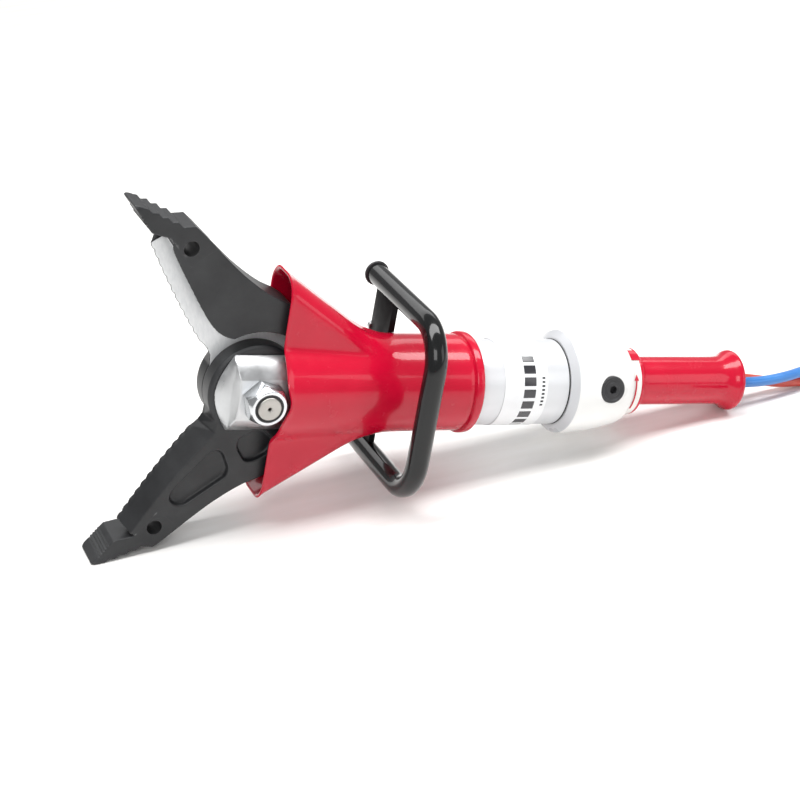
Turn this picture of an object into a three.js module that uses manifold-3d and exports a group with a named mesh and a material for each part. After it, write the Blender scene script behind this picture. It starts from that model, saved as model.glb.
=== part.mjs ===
// Hydraulic rescue spreader (combination spreading and cutting tool).
// Millimetres and degrees. The tool is drawn in its own frame: X runs along the cylinder towards
// the rear grip, the pivot bolt lies on Y, and the jaws open in the XZ plane. The whole tool is
// then pitched so that it rests on the lower jaw tip and on the flared end of the grip.
import * as THREE from 'three';
import { mergeVertices } from 'three/addons/utils/BufferGeometryUtils.js';
import Module from 'manifold-3d';

const wasm = await Module();
wasm.setup();

const RAD = Math.PI / 180;
const PITCH = 12.2;               // tool axis falls towards the grip when it lies on the ground
const GAP = 0.3;                  // clearance between neighbouring solids

// Jaws
const JAW_OPEN = 51.7;            // each arm, from the closed line: 350 mm between the tips
const ARM_HALF = 19.5;            // half the width of an arm
const SHEAR_GAP = 0.2;            // each blade from the shear plane
const HUB_R = 46;
const HUB_CLEAR_R = 59.5;
const BUSH_R = 15;
const SEAM_X = -144;              // where the removable tip meets the arm
const TIP_HOLE = [-158.5, 22.3];
const TIP_HOLE_R = 7.3;
const TIP_PIN = [-169.8, 22.3];
const TIP_PIN_R = 1.8;
const TEETH = 5;
const WAVE_PITCH = 9.5;
const BLADE_WAVE = 1.3;

// Pivot
const BOLT_R = 12;
const FLAT_Y = 38;                // milled seats for the nut and the bolt head
const NUT_FLATS = 36;
const NUT_TURN = 43.75;
const NUT_FACE_Y = 57;
const BOLT_END_Y = 58.6;

// Fork, cylinder and linkage
const FORK_R = 43;
const SLOT_HALF = 20;
const SLOT_END_X = 116;
const BARREL_X = [128.3, 316];
const BARREL_R = 42.5;
const BORE_R = 32;
const ROD_R = 12;
const LUG_R = 44;                 // link pin from the pivot
const LUG_ANGLE = 30 + JAW_OPEN;  // its direction with the jaws closed
const LINK_LENGTH = 60;
const YOKE_X = 97.57;             // link pins in the yoke with the jaws open
const YOKE_Z = 14;
const LINK_Y = [6, 14];
const PIN_R = 5;
const OPEN_PIVOT_R = 8.7;         // clearance hole at the arm end of each link
const LINK_EYE_R = 11.8;

// Guard
const MOUTH_X = 18;
const WING_HALF = 28;
const WING_Z = 112.7;
const WALL = 2.4;
const GUARD_R = 47.5;
const GUARD_END_X = 222;

// Carrying handle
const HANDLE_X = 145;
const HANDLE_Y = [-84.5, 71];
const HANDLE_Z = 84.3;
const HANDLE_R = 10.6;
const HANDLE_BEND = 38;
const POST_Y = [19, 60];

// Control body and rear grip
const BODY_X = 319.8;
const COLLAR_R = 52;
const PLUG_X = 364;
const PLUG_TURN = 14;             // above the horizontal
const PLUG_R = 13.6;
const SLEEVE_X = [395.8, 406.8];
const SLEEVE_R = 34.8;
const GRIP_X = [407.1, 536];
const FLANGE_R = 34.4;
const GRIP_R = 24.8;
const BELL_R = 31.5;
const CORE_R = 15;

// Hoses: they leave the grip side by side and end in quick couplings on the ground
const HOSE_R = 5.5;
const HOSE_Y = 6;

const paint = (color, roughness, metalness = 0) =>
  new THREE.MeshStandardMaterial({ color, roughness, metalness });
const RED = paint(0xc0101c, 0.28);
const BLACK_STEEL = paint(0x1a1a1c, 0.5, 0.3);
const SATIN_STEEL = paint(0xb9bcbf, 0.35, 0.9);
const BRIGHT_STEEL = paint(0xd6d8da, 0.2, 1.0);
const GREY_ALUMINIUM = paint(0xd5d6d8, 0.38, 0.3);
const WHITE = paint(0xeceae6, 0.4);
const BLACK_RUBBER = paint(0x0d0d0e, 0.65);
const BRONZE = paint(0xa9793a, 0.4, 0.9);
const LABEL = paint(0xf2f2f2, 0.45);
const BLUE_HOSE = paint(0x2f6fb4, 0.45);
const RED_HOSE = paint(0xd64a3c, 0.45);

// ---------------------------------------------------------------- geometry helpers

const X_AXIS = new THREE.Vector3(1, 0, 0);
const Y_AXIS = new THREE.Vector3(0, 1, 0);
const Z_AXIS = new THREE.Vector3(0, 0, 1);

// Shares the vertices and turns the faces outwards.
function closed(geometry) {
  const bare = geometry.index ? geometry.toNonIndexed() : geometry;
  bare.deleteAttribute('normal');
  bare.deleteAttribute('uv');
  const merged = mergeVertices(bare, 1e-4);
  const index = merged.index.array;
  const corners = [0, 1, 2].map(() => new THREE.Vector3());
  const kept = [];
  let volume = 0;
  for (let i = 0; i < index.length; i += 3) {
    const [a, b, c] = [index[i], index[i + 1], index[i + 2]];
    if (a === b || b === c || a === c) continue;
    corners.forEach((corner, k) => corner.fromBufferAttribute(merged.attributes.position, index[i + k]));
    volume += corners[0].dot(corners[1].clone().cross(corners[2]));
    kept.push([a, b, c]);
  }
  merged.setIndex(kept.flatMap(([a, b, c]) => (volume < 0 ? [a, c, b] : [a, b, c])));
  return merged;
}

function solid(geometry) {
  const mesh = closed(geometry);
  return new wasm.Manifold(new wasm.Mesh({
    numProp: 3,
    vertProperties: new Float32Array(mesh.attributes.position.array),
    triVerts: new Uint32Array(mesh.index.array),
  }));
}

function geometryOf(manifold) {
  const mesh = manifold.getMesh();
  const geometry = new THREE.BufferGeometry();
  geometry.setAttribute('position', new THREE.BufferAttribute(new Float32Array(mesh.vertProperties), 3));
  geometry.setIndex([...mesh.triVerts]);
  return geometry;
}

const cut = (base, ...tools) => tools.reduce((whole, tool) => whole.subtract(tool), base);
const join = (base, ...others) => others.reduce((whole, other) => whole.add(other), base);

function shapeOf(points) {
  return new THREE.Shape(points.map(([u, v]) => new THREE.Vector2(u, v)));
}

// An outline in XZ, from y0 to y1.
function plateY(points, y0, y1) {
  const geometry = new THREE.ExtrudeGeometry(shapeOf(points), { depth: y1 - y0, bevelEnabled: false });
  return geometry.rotateX(90 * RAD).translate(0, y1, 0);
}

// An outline in YZ, from x0 to x1.
function plateX(points, x0, x1) {
  const geometry = new THREE.ExtrudeGeometry(shapeOf(points), { depth: x1 - x0, bevelEnabled: false });
  geometry.applyMatrix4(new THREE.Matrix4().makeBasis(Y_AXIS, Z_AXIS, X_AXIS));
  return geometry.translate(x0, 0, 0);
}

// A profile of [x, radius] turned about X. A ring's profile closes on itself.
function turnedX(profile, segments = 24) {
  const points = profile.map(([x, r]) => new THREE.Vector2(r, x));
  return new THREE.LatheGeometry(points, segments).rotateZ(-90 * RAD);
}

function ringX(profile, segments = 24) {
  return turnedX([...profile, profile[0]], segments);
}

// A profile of [y, radius] turned about the Y line through x, z.
function turnedY(profile, x = 0, z = 0, segments = 24) {
  const points = profile.map(([y, r]) => new THREE.Vector2(r, y));
  return new THREE.LatheGeometry(points, segments).translate(x, 0, z);
}

function ringY(inner, outer, y0, y1, x = 0, z = 0, segments = 28) {
  return turnedY([[y0, inner], [y0, outer], [y1, outer], [y1, inner], [y0, inner]], x, z, segments);
}

function rodY(y0, y1, radius, x = 0, z = 0, segments = 24) {
  return turnedY([[y0, 0], [y0, radius], [y1, radius], [y1, 0]], x, z, segments);
}

function box(x0, x1, y0, y1, z0, z1) {
  return new THREE.BoxGeometry(x1 - x0, y1 - y0, z1 - z0)
    .translate((x0 + x1) / 2, (y0 + y1) / 2, (z0 + z1) / 2);
}

// Joins closed sections with the same number of points, one ring of points after another.
function loft(sections) {
  const count = sections[0].length;
  const positions = sections.flat(2);
  const index = [];
  for (let s = 0; s < sections.length - 1; s += 1) {
    for (let i = 0; i < count; i += 1) {
      const [a, b] = [s * count + i, s * count + (i + 1) % count];
      index.push(a, b, b + count, a, b + count, a + count);
    }
  }
  const cap = (section, base, first) => {
    const [u, v] = flatAxes(section);
    const outline = section.map((p) => new THREE.Vector2(p[u], p[v]));
    const reversed = THREE.ShapeUtils.isClockWise(outline) !== first;
    for (const [i, j, k] of THREE.ShapeUtils.triangulateShape(outline, [])) {
      index.push(base + i, base + (reversed ? k : j), base + (reversed ? j : k));
    }
  };
  cap(sections[0], 0, true);
  cap(sections.at(-1), (sections.length - 1) * count, false);
  const geometry = new THREE.BufferGeometry();
  geometry.setAttribute('position', new THREE.Float32BufferAttribute(positions, 3));
  geometry.setIndex(index);
  return geometry;
}

// The two axes that a flat section spans: XZ where its y is constant, YZ where its x is.
function flatAxes(section) {
  const constantY = section.every((p) => Math.abs(p[1] - section[0][1]) < 1e-6);
  return constantY ? [0, 2] : [1, 2];
}

function circlePoints(radius, count, cx = 0, cz = 0, from = 0, to = 360) {
  const full = Math.abs(to - from) >= 360;
  return Array.from({ length: count }, (_, i) => {
    const angle = (from + ((to - from) * i) / (full ? count : count - 1)) * RAD;
    return [cx + radius * Math.cos(angle), cz + radius * Math.sin(angle)];
  });
}

// A straight run of points with rounded corners, as one path.
function roundedPath(points, radius) {
  const path = new THREE.CurvePath();
  const kappa = 0.5523;
  let start = points[0];
  for (let i = 1; i < points.length - 1; i += 1) {
    const corner = points[i];
    const before = corner.clone().add(points[i - 1].clone().sub(corner).setLength(radius));
    const after = corner.clone().add(points[i + 1].clone().sub(corner).setLength(radius));
    path.add(new THREE.LineCurve3(start, before));
    path.add(new THREE.CubicBezierCurve3(before, before.clone().lerp(corner, kappa),
      after.clone().lerp(corner, kappa), after));
    start = after;
  }
  path.add(new THREE.LineCurve3(start, points.at(-1)));
  return path;
}

function tube(path, radius, sides, steps) {
  const section = new THREE.Shape(circlePoints(radius, sides).map(([u, v]) => new THREE.Vector2(u, v)));
  return new THREE.ExtrudeGeometry(section, { steps, extrudePath: path, bevelEnabled: false });
}

const tool = new THREE.Group();
const ground = new THREE.Group();

function add(name, geometry, material, parent = tool) {
  const mesh = new THREE.Mesh(closed(geometry), material);
  mesh.name = name;
  parent.add(mesh);
  return mesh;
}

// ---------------------------------------------------------------- jaws

const lug = [LUG_R * Math.cos(LUG_ANGLE * RAD), LUG_R * Math.sin(LUG_ANGLE * RAD)];

// The outer edge of an arm from the tip seam round the heel to the link lug, jaws closed.
const ARM_BACK = [[SEAM_X, 42], [-135, 43.4], [-105, 49.5], [-76, 59], [-58, 68.5], [-47, 72],
  [-34, 72.5], [-15, 66], [-4, 60], [6.4, 57], [15, 53.5], [19.4, 46], [19.6, 40], [26, 36]];
const TIP_NOSE = [-222.8, 2.6];
const TIP_INNER = [[-176.6, 13.1], [-192, 0.9], [-209.5, 0.3], [-222.3, 1.6]];
const TIP_SEAT = [[SEAM_X, 12.8], [-175.5, 12.8]];

// The cutting edge on the shear plane, below the closed line by up to 16 mm, with a fine wave.
function bladeLine(x) {
  const t = THREE.MathUtils.clamp((-64 - x) / 118, 0, 1);
  return -16 + 13.5 * t ** 1.6;
}

function bladeEdge(x) {
  return bladeLine(x) - BLADE_WAVE * Math.abs(Math.sin((Math.PI * (x + 64)) / WAVE_PITCH));
}

// The same edge where the bevel runs out on the flank of the arm.
function flankEdge(x) {
  return -0.8 + 10 * THREE.MathUtils.clamp((-59 - x) / 123, 0, 1) ** 2.2;
}

const EDGE_STEPS = 48;
const edgeX = Array.from({ length: EDGE_STEPS + 1 }, (_, i) => -177 + (113 * i) / EDGE_STEPS);

// Arm outline with a given inner edge: along the edge to the hub, round it, and back by the heel.
function bladeOutline(edge, hubFront) {
  return [
    ...edgeX.map((x) => [x, edge(x)]),
    ...hubFront,
    ...circlePoints(HUB_R, 9, 0, 0, 208, 360),
    [HUB_R - 4, 20],
    [30, 33],
    ...ARM_BACK.slice().reverse(),
    ...TIP_SEAT,
  ];
}

const sectionAt = (outline, y) => outline.map(([x, z]) => [x, y, z]);

// The half with the blade: its bevel falls from the cutting edge to the flank.
function bladeHalf() {
  const root = [[-56, -15], [-49, -16]];
  const rootFlank = [[-54, -1.5], [-46, -8]];
  return solid(loft([
    sectionAt(bladeOutline(bladeEdge, root), SHEAR_GAP),
    sectionAt(bladeOutline(flankEdge, rootFlank), ARM_HALF),
  ]));
}

// The plain half: it stops short of the closed line and of the other arm's hub.
function plainHalf() {
  const recess = (x) => 1 + BLADE_WAVE - bladeLine(x);
  const rim = (x) => 2.3 + 7.5 * THREE.MathUtils.clamp((-75 - x) / 102, 0, 1) ** 1.3;
  const xs = Array.from({ length: 13 }, (_, i) => -176.5 + (116 * i) / 12);
  const outline = (edge) => [
    ...xs.map((x) => [x, edge(x)]),
    [-50, 18],
    ...ARM_BACK.slice(0, -1).reverse(),
    ...TIP_SEAT,
  ];
  const inner = outline(recess);
  const body = loft([sectionAt(outline(rim), -ARM_HALF), sectionAt(inner, SHEAR_GAP + 0.8)]);
  return solid(body).subtract(solid(rodY(-30, 5, HUB_CLEAR_R, 0, 0, 64)));
}

// Shallow pockets that lighten the flank on the blade side.
const POCKETS = [
  [[-70, 9], [-63.5, 14], [-63, 21], [-71, 37], [-79, 41], [-126, 29], [-131.5, 22], [-131, 13],
    [-122, 8]],
  [[-36, 25], [-43, 21], [-52, 26], [-58, 44], [-51, 51], [-37, 57], [-22, 54], [-22, 30]],
];
const POCKET_DEPTH = 4;

// The slot in the lug that the link swings in.
function lugSlot() {
  const y0 = LINK_Y[0] - 0.4;
  const y1 = LINK_Y[1] + 0.4;
  const from = (distance, angle) =>
    [lug[0] + distance * Math.cos(angle * RAD), lug[1] + distance * Math.sin(angle * RAD)];
  const wedge = plateY([from(15, 240), from(50, -42), [66, 40], from(44, 54), from(15, 130)], y0, y1);
  return solid(wedge).add(solid(rodY(y0, y1, LINK_EYE_R + 3.8, lug[0], lug[1])));
}

function armSolid() {
  const tongue = solid(box(-173.5, SEAM_X + 4, -8, 8, 12.4, 32));
  let arm = join(bladeHalf(), plainHalf(), tongue);
  arm = cut(arm,
    solid(rodY(-30, 30, BUSH_R + GAP)),
    solid(rodY(-30, 30, PIN_R + GAP, lug[0], lug[1])),
    solid(rodY(-30, 30, TIP_HOLE_R, ...TIP_HOLE, 32)),
    solid(rodY(-30, 30, TIP_PIN_R + GAP, ...TIP_PIN, 16)),
    lugSlot());
  for (const pocket of POCKETS) {
    arm = arm.subtract(solid(plateY(pocket, ARM_HALF - POCKET_DEPTH, ARM_HALF + 5)));
  }
  return arm;
}

// Saw teeth across the back of the tip: each rises towards the hub and then drops.
function toothedBack() {
  const points = [];
  for (let i = 0; i < TEETH; i += 1) {
    const x = -217 + 7.2 * i;
    const z = 4.8 + 3.9 * i;
    points.push([x, z], [x + 4.4, z + 4.9]);
  }
  points.push([-181, 24.3], [-174.5, 34.2], [-164, 38.3], [SEAM_X - GAP, 42]);
  return points;
}

// Fine ridges across the flat that grips when the tips meet.
function ridgedInner() {
  const ridges = [-195, -199, -203].flatMap((x) => [[x + 1.2, 0.9], [x, 0.3], [x - 0.2, 1.5]]);
  return [[SEAM_X - GAP, 13.1], ...TIP_INNER.slice(0, 2), ...ridges, ...TIP_INNER.slice(2)];
}

// A plate of one outline whose flanks may lean in point by point.
function loftFlat(outline, place) {
  const geometry = plateY(outline, -ARM_HALF, ARM_HALF);
  const position = geometry.attributes.position;
  for (let i = 0; i < position.count; i += 1) {
    const moved = place([position.getX(i), position.getZ(i)], position.getY(i));
    position.setXYZ(i, ...moved);
  }
  return geometry;
}

function tipSolid() {
  const outline = [...ridgedInner(), TIP_NOSE, ...toothedBack()];
  const narrow = (p, y) => {
    const nose = THREE.MathUtils.clamp((-205 - p[0]) / 18, 0, 1);
    return [p[0], y * (1 - 0.12 * nose), p[1]];
  };
  const block = loftFlat(outline, narrow);
  return cut(solid(block),
    solid(box(-173.5 - GAP, SEAM_X + 5, -8 - GAP, 8 + GAP, 10, 32 + GAP)),
    solid(rodY(-30, 30, TIP_HOLE_R, ...TIP_HOLE, 32)),
    solid(rodY(-11.5, 11.5, TIP_PIN_R + GAP, ...TIP_PIN, 16)));
}

const armGeometry = geometryOf(armSolid());
const tipGeometry = geometryOf(tipSolid());

// Both arms are one part: the lower one is turned half a turn about the tool axis.
for (const [side, turn] of [['upper', 0], ['lower', 180]]) {
  const arm = new THREE.Group();
  arm.rotation.set(turn * RAD, 0, 0);
  tool.add(arm);
  const jaw = new THREE.Group();
  jaw.rotation.set(0, JAW_OPEN * RAD, 0);
  arm.add(jaw);
  add(`${side}_arm`, armGeometry.clone(), BLACK_STEEL, jaw);
  add(`${side}_tip`, tipGeometry.clone(), BLACK_STEEL, jaw);
  add(`${side}_tip_pin`, rodY(-11, 11, TIP_PIN_R, ...TIP_PIN, 12), BRIGHT_STEEL, jaw);
  const pin = rodY(SHEAR_GAP + 0.2, ARM_HALF - 0.5, PIN_R, ...lug, 24);
  add(`${side}_lug_pin`, pin, BRIGHT_STEEL, jaw);
  const bush = ringY(BOLT_R + GAP, BUSH_R, SHEAR_GAP + 0.2, ARM_HALF - 0.2);
  add(`${side}_arm_bush`, bush, BRONZE, jaw);
}

// ---------------------------------------------------------------- pivot

function hexagon(flats, turn = 0) {
  return circlePoints(flats / 2 / Math.cos(30 * RAD), 6, 0, 0, turn, turn + 360);
}

function pivotNut() {
  const blank = solid(plateY(hexagon(NUT_FLATS, NUT_TURN), -NUT_FACE_Y, -FLAT_Y - GAP));
  const rounding = turnedY([[-NUT_FACE_Y, 0], [-NUT_FACE_Y, 16.4], [-NUT_FACE_Y + 5, 19],
    [-NUT_FACE_Y + 9, 22], [-30, 22], [-30, 0]], 0, 0, 48);
  return cut(blank.intersect(solid(rounding)),
    solid(rodY(-60, -30, BOLT_R + GAP)),
    solid(rodY(-60, -NUT_FACE_Y + 3, 13.8, 0, 0, 40)));
}

function pivotBolt() {
  const head = solid(plateY(hexagon(NUT_FLATS, NUT_TURN), FLAT_Y + 2.9, 50));
  const rounding = turnedY([[30, 0], [30, 22], [45, 22], [50, 17.5], [50, 0]], 0, 0, 40);
  const shank = turnedY([[-BOLT_END_Y, 0], [-BOLT_END_Y, 10.4], [-BOLT_END_Y + 1.2, 11.3], [-54, 11.3],
    [-53.5, BOLT_R], [43, BOLT_R], [43, 0]], 0, 0, 32);
  const centre = turnedY([[-60, 0], [-60, 3.2], [-BOLT_END_Y, 2.6], [-BOLT_END_Y + 4, 0]], 0, 0, 16);
  return cut(join(head.intersect(solid(rounding)), solid(shank)), solid(centre));
}

add('pivot_bolt', geometryOf(pivotBolt()), SATIN_STEEL);
add('pivot_nut', geometryOf(pivotNut()), BRIGHT_STEEL);
add('pivot_washer', ringY(BOLT_R + GAP, 21, FLAT_Y + GAP, FLAT_Y + 2.6), SATIN_STEEL);
add('nut_seal_ring', ringY(11.3 + GAP, 13.5, -NUT_FACE_Y - 0.6, -NUT_FACE_Y + 2.7), BLACK_RUBBER);

// ---------------------------------------------------------------- fork

// One cheek: nosed at the slot, hollowed in front and set back at the outer face.
function forkCheek(side) {
  const zs = Array.from({ length: 15 }, (_, i) => -44 + (88 * i) / 14);
  const nose = (z) => -26 - 15 * Math.max(Math.cos((Math.PI * z) / 76), 0);
  const rim = (z) => -22.5 - 5.5 * (z / 36) ** 2;
  const hollow = (z) => (nose(z) + rim(z)) / 2 + 4.5 * Math.max(1 - (z / 40) ** 2, 0);
  const skirt = (z) => rim(z) + 2.5;
  const outline = (front) => [[70, -44], ...zs.map((z) => [front(z), z]), [70, 44]];
  const stations = [[SLOT_HALF, nose], [29, hollow], [FLAT_Y, rim], [43.5, skirt]];
  const sections = stations.map(([y, front]) => sectionAt(outline(front), side * y));
  return solid(loft(side > 0 ? sections : sections.reverse()));
}

function forkSolid() {
  const round = solid(turnedX([[-60, 0], [-60, FORK_R], [128, FORK_R], [128, BORE_R - GAP],
    [148, BORE_R - GAP], [148, 0]], 48));
  const rear = solid(box(60, 160, -60, 60, -60, 60));
  const kept = join(rear, forkCheek(1), forkCheek(-1));
  return cut(round.intersect(kept),
    solid(box(-80, SLOT_END_X, -SLOT_HALF, SLOT_HALF, -60, 60)),
    solid(box(-80, 46, FLAT_Y, 60, -60, 60)),
    solid(box(-80, 46, -60, -FLAT_Y, -60, 60)),
    solid(rodY(-60, 60, BOLT_R + GAP)),
    solid(turnedX([[100, 0], [100, ROD_R + GAP], [160, ROD_R + GAP], [160, 0]])),
    solid(turnedX([[136, 0], [136, 16.3], [142, 16.3], [142, 0]])));
}

add('pivot_fork', geometryOf(forkSolid()), SATIN_STEEL);

// ---------------------------------------------------------------- cylinder, piston and linkage

add('cylinder_barrel', ringX([[BARREL_X[0], BORE_R], [BARREL_X[0], BARREL_R], [BARREL_X[1], BARREL_R],
  [BARREL_X[1], BORE_R]], 48), GREY_ALUMINIUM);
add('label_band', ringX([[253, BARREL_R + GAP], [253, BARREL_R + 0.7], [300, BARREL_R + 0.7],
  [300, BARREL_R + GAP]], 48), LABEL);
add('rod_seal', ringX([[136.3, ROD_R + GAP], [136.3, 16], [141.7, 16], [141.7, ROD_R + GAP]], 32),
  BLACK_RUBBER);

const YOKE_BACK = YOKE_X + 15;
const STUB_R = 6.5;
add('piston_rod', turnedX([[YOKE_X + 8.5, 0], [YOKE_X + 8.5, STUB_R], [YOKE_BACK + GAP, STUB_R],
  [YOKE_BACK + GAP, ROD_R], [262, ROD_R], [262, 8], [292, 8], [292, 0]], 32), BRIGHT_STEEL);
add('piston', ringX([[262.3, 8 + GAP], [262.3, 31.4], [270, 31.4], [270, 28], [276, 28], [276, 31.4],
  [284, 31.4], [284, 8 + GAP]], 40), GREY_ALUMINIUM);
add('piston_seal', ringX([[270.3, 28.3], [270.3, 31.6], [275.7, 31.6], [275.7, 28.3]], 40), BLACK_RUBBER);
add('piston_nut', geometryOf(cut(solid(plateX(hexagon(24), 284.3, 293)),
  solid(turnedX([[280, 0], [280, 8 + GAP], [300, 8 + GAP], [300, 0]], 24)))), SATIN_STEEL);

// The yoke: a block with one open slot for each link, at opposite sides of the shear plane.
function yokeSolid() {
  const front = YOKE_X - 11;
  const block = solid(box(front, YOKE_BACK, -17.5, 17.5, -25, 25));
  const between = (a, b) => [Math.min(a, b), Math.max(a, b)];
  const slot = (s) => box(front - 1, YOKE_X + 10.8,
    ...between(s * (LINK_Y[0] - 0.4), s * (LINK_Y[1] + 0.4)), ...between(s * 1.5, s * 30));
  return cut(block, solid(slot(1)), solid(slot(-1)),
    solid(rodY(-30, 30, PIN_R + GAP, YOKE_X, YOKE_Z)),
    solid(rodY(-30, 30, PIN_R + GAP, YOKE_X, -YOKE_Z)),
    solid(turnedX([[YOKE_X + 8.2, 0], [YOKE_X + 8.2, STUB_R + GAP], [130, STUB_R + GAP], [130, 0]], 28)));
}

add('rod_yoke', geometryOf(yokeSolid()), BLACK_STEEL);

// A link lies along +X from the yoke pin at its origin; its arm end has the clearance hole.
function linkSolid() {
  const outline = [...circlePoints(10, 12, 0, 0, 90, 270),
    ...circlePoints(LINK_EYE_R, 14, LINK_LENGTH, 0, -90, 90)];
  return cut(solid(plateY(outline, LINK_Y[0], LINK_Y[1])),
    solid(rodY(0, 20, PIN_R + GAP)),
    solid(rodY(0, 20, OPEN_PIVOT_R, LINK_LENGTH, 0)));
}

const linkGeometry = geometryOf(linkSolid());
const lugAngleOpen = (LUG_ANGLE - JAW_OPEN) * RAD;
const lugOpen = [LUG_R * Math.cos(lugAngleOpen), LUG_R * Math.sin(lugAngleOpen)];
const linkTurn = Math.atan2(lugOpen[1] - YOKE_Z, lugOpen[0] - YOKE_X);

for (const [side, turn] of [['upper', 0], ['lower', 180]]) {
  const half = new THREE.Group();
  half.rotation.set(turn * RAD, 0, 0);
  tool.add(half);
  const link = add(`${side}_link`, linkGeometry.clone(), BLACK_STEEL, half);
  link.position.set(YOKE_X, 0, YOKE_Z);
  link.rotation.set(0, -linkTurn, 0);
  add(`${side}_yoke_pin`, rodY(-17, 17, PIN_R, YOKE_X, YOKE_Z, 20), BRIGHT_STEEL, half);
}

// ---------------------------------------------------------------- guard

// A rounded rectangle in YZ at one x.
function wingSection(x, halfY, halfZ, radius) {
  const r = Math.min(radius, halfY - 0.5, halfZ - 0.5);
  const corners = [[1, 1, 0], [-1, 1, 90], [-1, -1, 180], [1, -1, 270]];
  return corners.flatMap(([sy, sz, from]) =>
    circlePoints(r, 6, sy * (halfY - r), sz * (halfZ - r), from, from + 90))
    .map(([y, z]) => [x, y, z]);
}

function wingBlock(inset, x0) {
  const stations = [[x0, WING_Z + (MOUTH_X - x0) * 0.663], [60, 84.9], [100, 58.5], [112, 51.5],
    [120, 48.4], [127, 46.6]];
  const radius = 20 - inset / 2;
  return solid(loft(stations.map(([x, z]) => wingSection(x, WING_HALF - inset, z - inset, radius))));
}

function guardSolid() {
  const outer = solid(ringX([[MOUTH_X, 1], [MOUTH_X, 53], [45, 51.5], [80, 49.5], [118, GUARD_R],
    [212, GUARD_R], [214, 49], [217, 50], [220, 50], [GUARD_END_X, 49], [GUARD_END_X, 1]], 40));
  const innerTube = solid(turnedX([[0, 0], [0, 50.6], [45, 49.1], [80, 47.1], [118, GUARD_R - WALL],
    [GUARD_END_X + 5, GUARD_R - WALL], [GUARD_END_X + 5, 0]], 40));
  const scallop = [solid(rodY(-80, -30, 25.5, 0, 0, 40)), solid(rodY(30, 80, 25.5, 0, 0, 40))];
  return cut(outer.add(wingBlock(0, MOUTH_X)), innerTube, wingBlock(WALL, MOUTH_X - 6), ...scallop);
}

add('guard_shroud', geometryOf(guardSolid()), RED);

// ---------------------------------------------------------------- carrying handle

function handlePath() {
  const corner = (y, z) => new THREE.Vector3(HANDLE_X, y, z);
  return roundedPath([corner(HANDLE_Y[1], HANDLE_Z), corner(HANDLE_Y[0], HANDLE_Z),
    corner(HANDLE_Y[0], -HANDLE_Z), corner(HANDLE_Y[1], -HANDLE_Z)], HANDLE_BEND);
}

add('carry_handle', tube(handlePath(), HANDLE_R, 16, 34), BLACK_RUBBER);

const BOLT_Z = 33;
for (const [side, s] of [['top', 1], ['bottom', -1]]) {
  const cap = turnedY([[HANDLE_Y[1] + GAP, 0], [HANDLE_Y[1] + GAP, 12.4], [HANDLE_Y[1] + 2.6, 12.4],
    [HANDLE_Y[1] + 4.6, 9], [HANDLE_Y[1] + 5.2, 0]], HANDLE_X, s * HANDLE_Z, 24);
  add(`handle_end_cap_${side}`, cap, BLACK_RUBBER);
  const heights = s > 0 ? [24, HANDLE_Z] : [-HANDLE_Z, -24];
  const plate = solid(box(HANDLE_X - 3, HANDLE_X + 3, ...POST_Y, ...heights));
  const post = cut(plate,
    solid(turnedX([[100, 0], [100, GUARD_R + GAP], [200, GUARD_R + GAP], [200, 0]], 72)),
    solid(rodY(-100, 100, HANDLE_R + GAP, HANDLE_X, s * HANDLE_Z, 40)),
    solid(rodY(47, 70, 2 + 0.25, HANDLE_X, s * BOLT_Z, 16)));
  add(`handle_post_${side}`, geometryOf(post), BLACK_STEEL);
  const bolt = turnedY([[47.5, 0], [47.5, 2], [POST_Y[1] + GAP, 2], [POST_Y[1] + GAP, 4.6],
    [POST_Y[1] + 5, 4.6], [POST_Y[1] + 5.6, 3.8], [POST_Y[1] + 5.6, 0]], HANDLE_X, s * BOLT_Z, 16);
  add(`handle_bolt_${side}`, bolt, SATIN_STEEL);
}

// ---------------------------------------------------------------- control body

function alongPlug(profile, segments = 32) {
  const geometry = turnedY(profile.map(([r, y]) => [-r, y]), PLUG_X, 0, segments);
  return geometry.rotateX(-PLUG_TURN * RAD);
}

function controlBody() {
  const body = solid(ringX([[300, 6], [300, BORE_R - GAP], [316.3, BORE_R - GAP], [316.3, 35.5],
    [BODY_X, 35.5], [BODY_X, 44.4], [325, 51], [327, COLLAR_R], [334, COLLAR_R], [340, 51],
    [356, 49.9], [370, 47.7], [386, 44.3], [392, 42], [395, 39.5], [395.5, 37], [395.5, 22.3],
    [384, 22.3], [384, 20], [350, 20], [350, 6]], 36));
  return cut(body,
    solid(alongPlug([[46.6, 0], [46.6, PLUG_R + GAP], [70, PLUG_R + GAP], [70, 0]])),
    solid(alongPlug([[10, 0], [10, 9.3], [50, 9.3], [50, 0]])));
}

add('control_body', geometryOf(controlBody()), WHITE);
add('collar_seal_ring', ringX([[316.6, 35.8], [316.6, 43.7], [319.4, 43.7], [319.4, 35.8]], 40),
  BLACK_RUBBER);

function valvePlug() {
  const body = solid(alongPlug([[24, 0], [24, 9], [46.9, 9], [46.9, PLUG_R], [49.4, PLUG_R],
    [51, 12.6], [51, 0]]));
  const socket = plateY(hexagon(9, 30), -60, -42).translate(PLUG_X, 0, 0).rotateX(-PLUG_TURN * RAD);
  return body.subtract(solid(socket));
}

add('valve_plug', geometryOf(valvePlug()), BLACK_RUBBER);
add('rotary_valve_sleeve', ringX([[353, CORE_R + GAP], [353, 19.7], [382, 19.7], [382, CORE_R + GAP]], 36),
  BRONZE);

// Torsion spring that turns the grip back to neutral.
function springPath() {
  const turns = 4;
  const points = Array.from({ length: turns * 12 + 1 }, (_, i) => {
    const angle = (i / 12) * 2 * Math.PI;
    const x = 386.5 + (i / (turns * 12)) * 9.5;
    return new THREE.Vector3(x, 19.4 * Math.cos(angle), 19.4 * Math.sin(angle));
  });
  return new THREE.CatmullRomCurve3(points);
}

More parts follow.
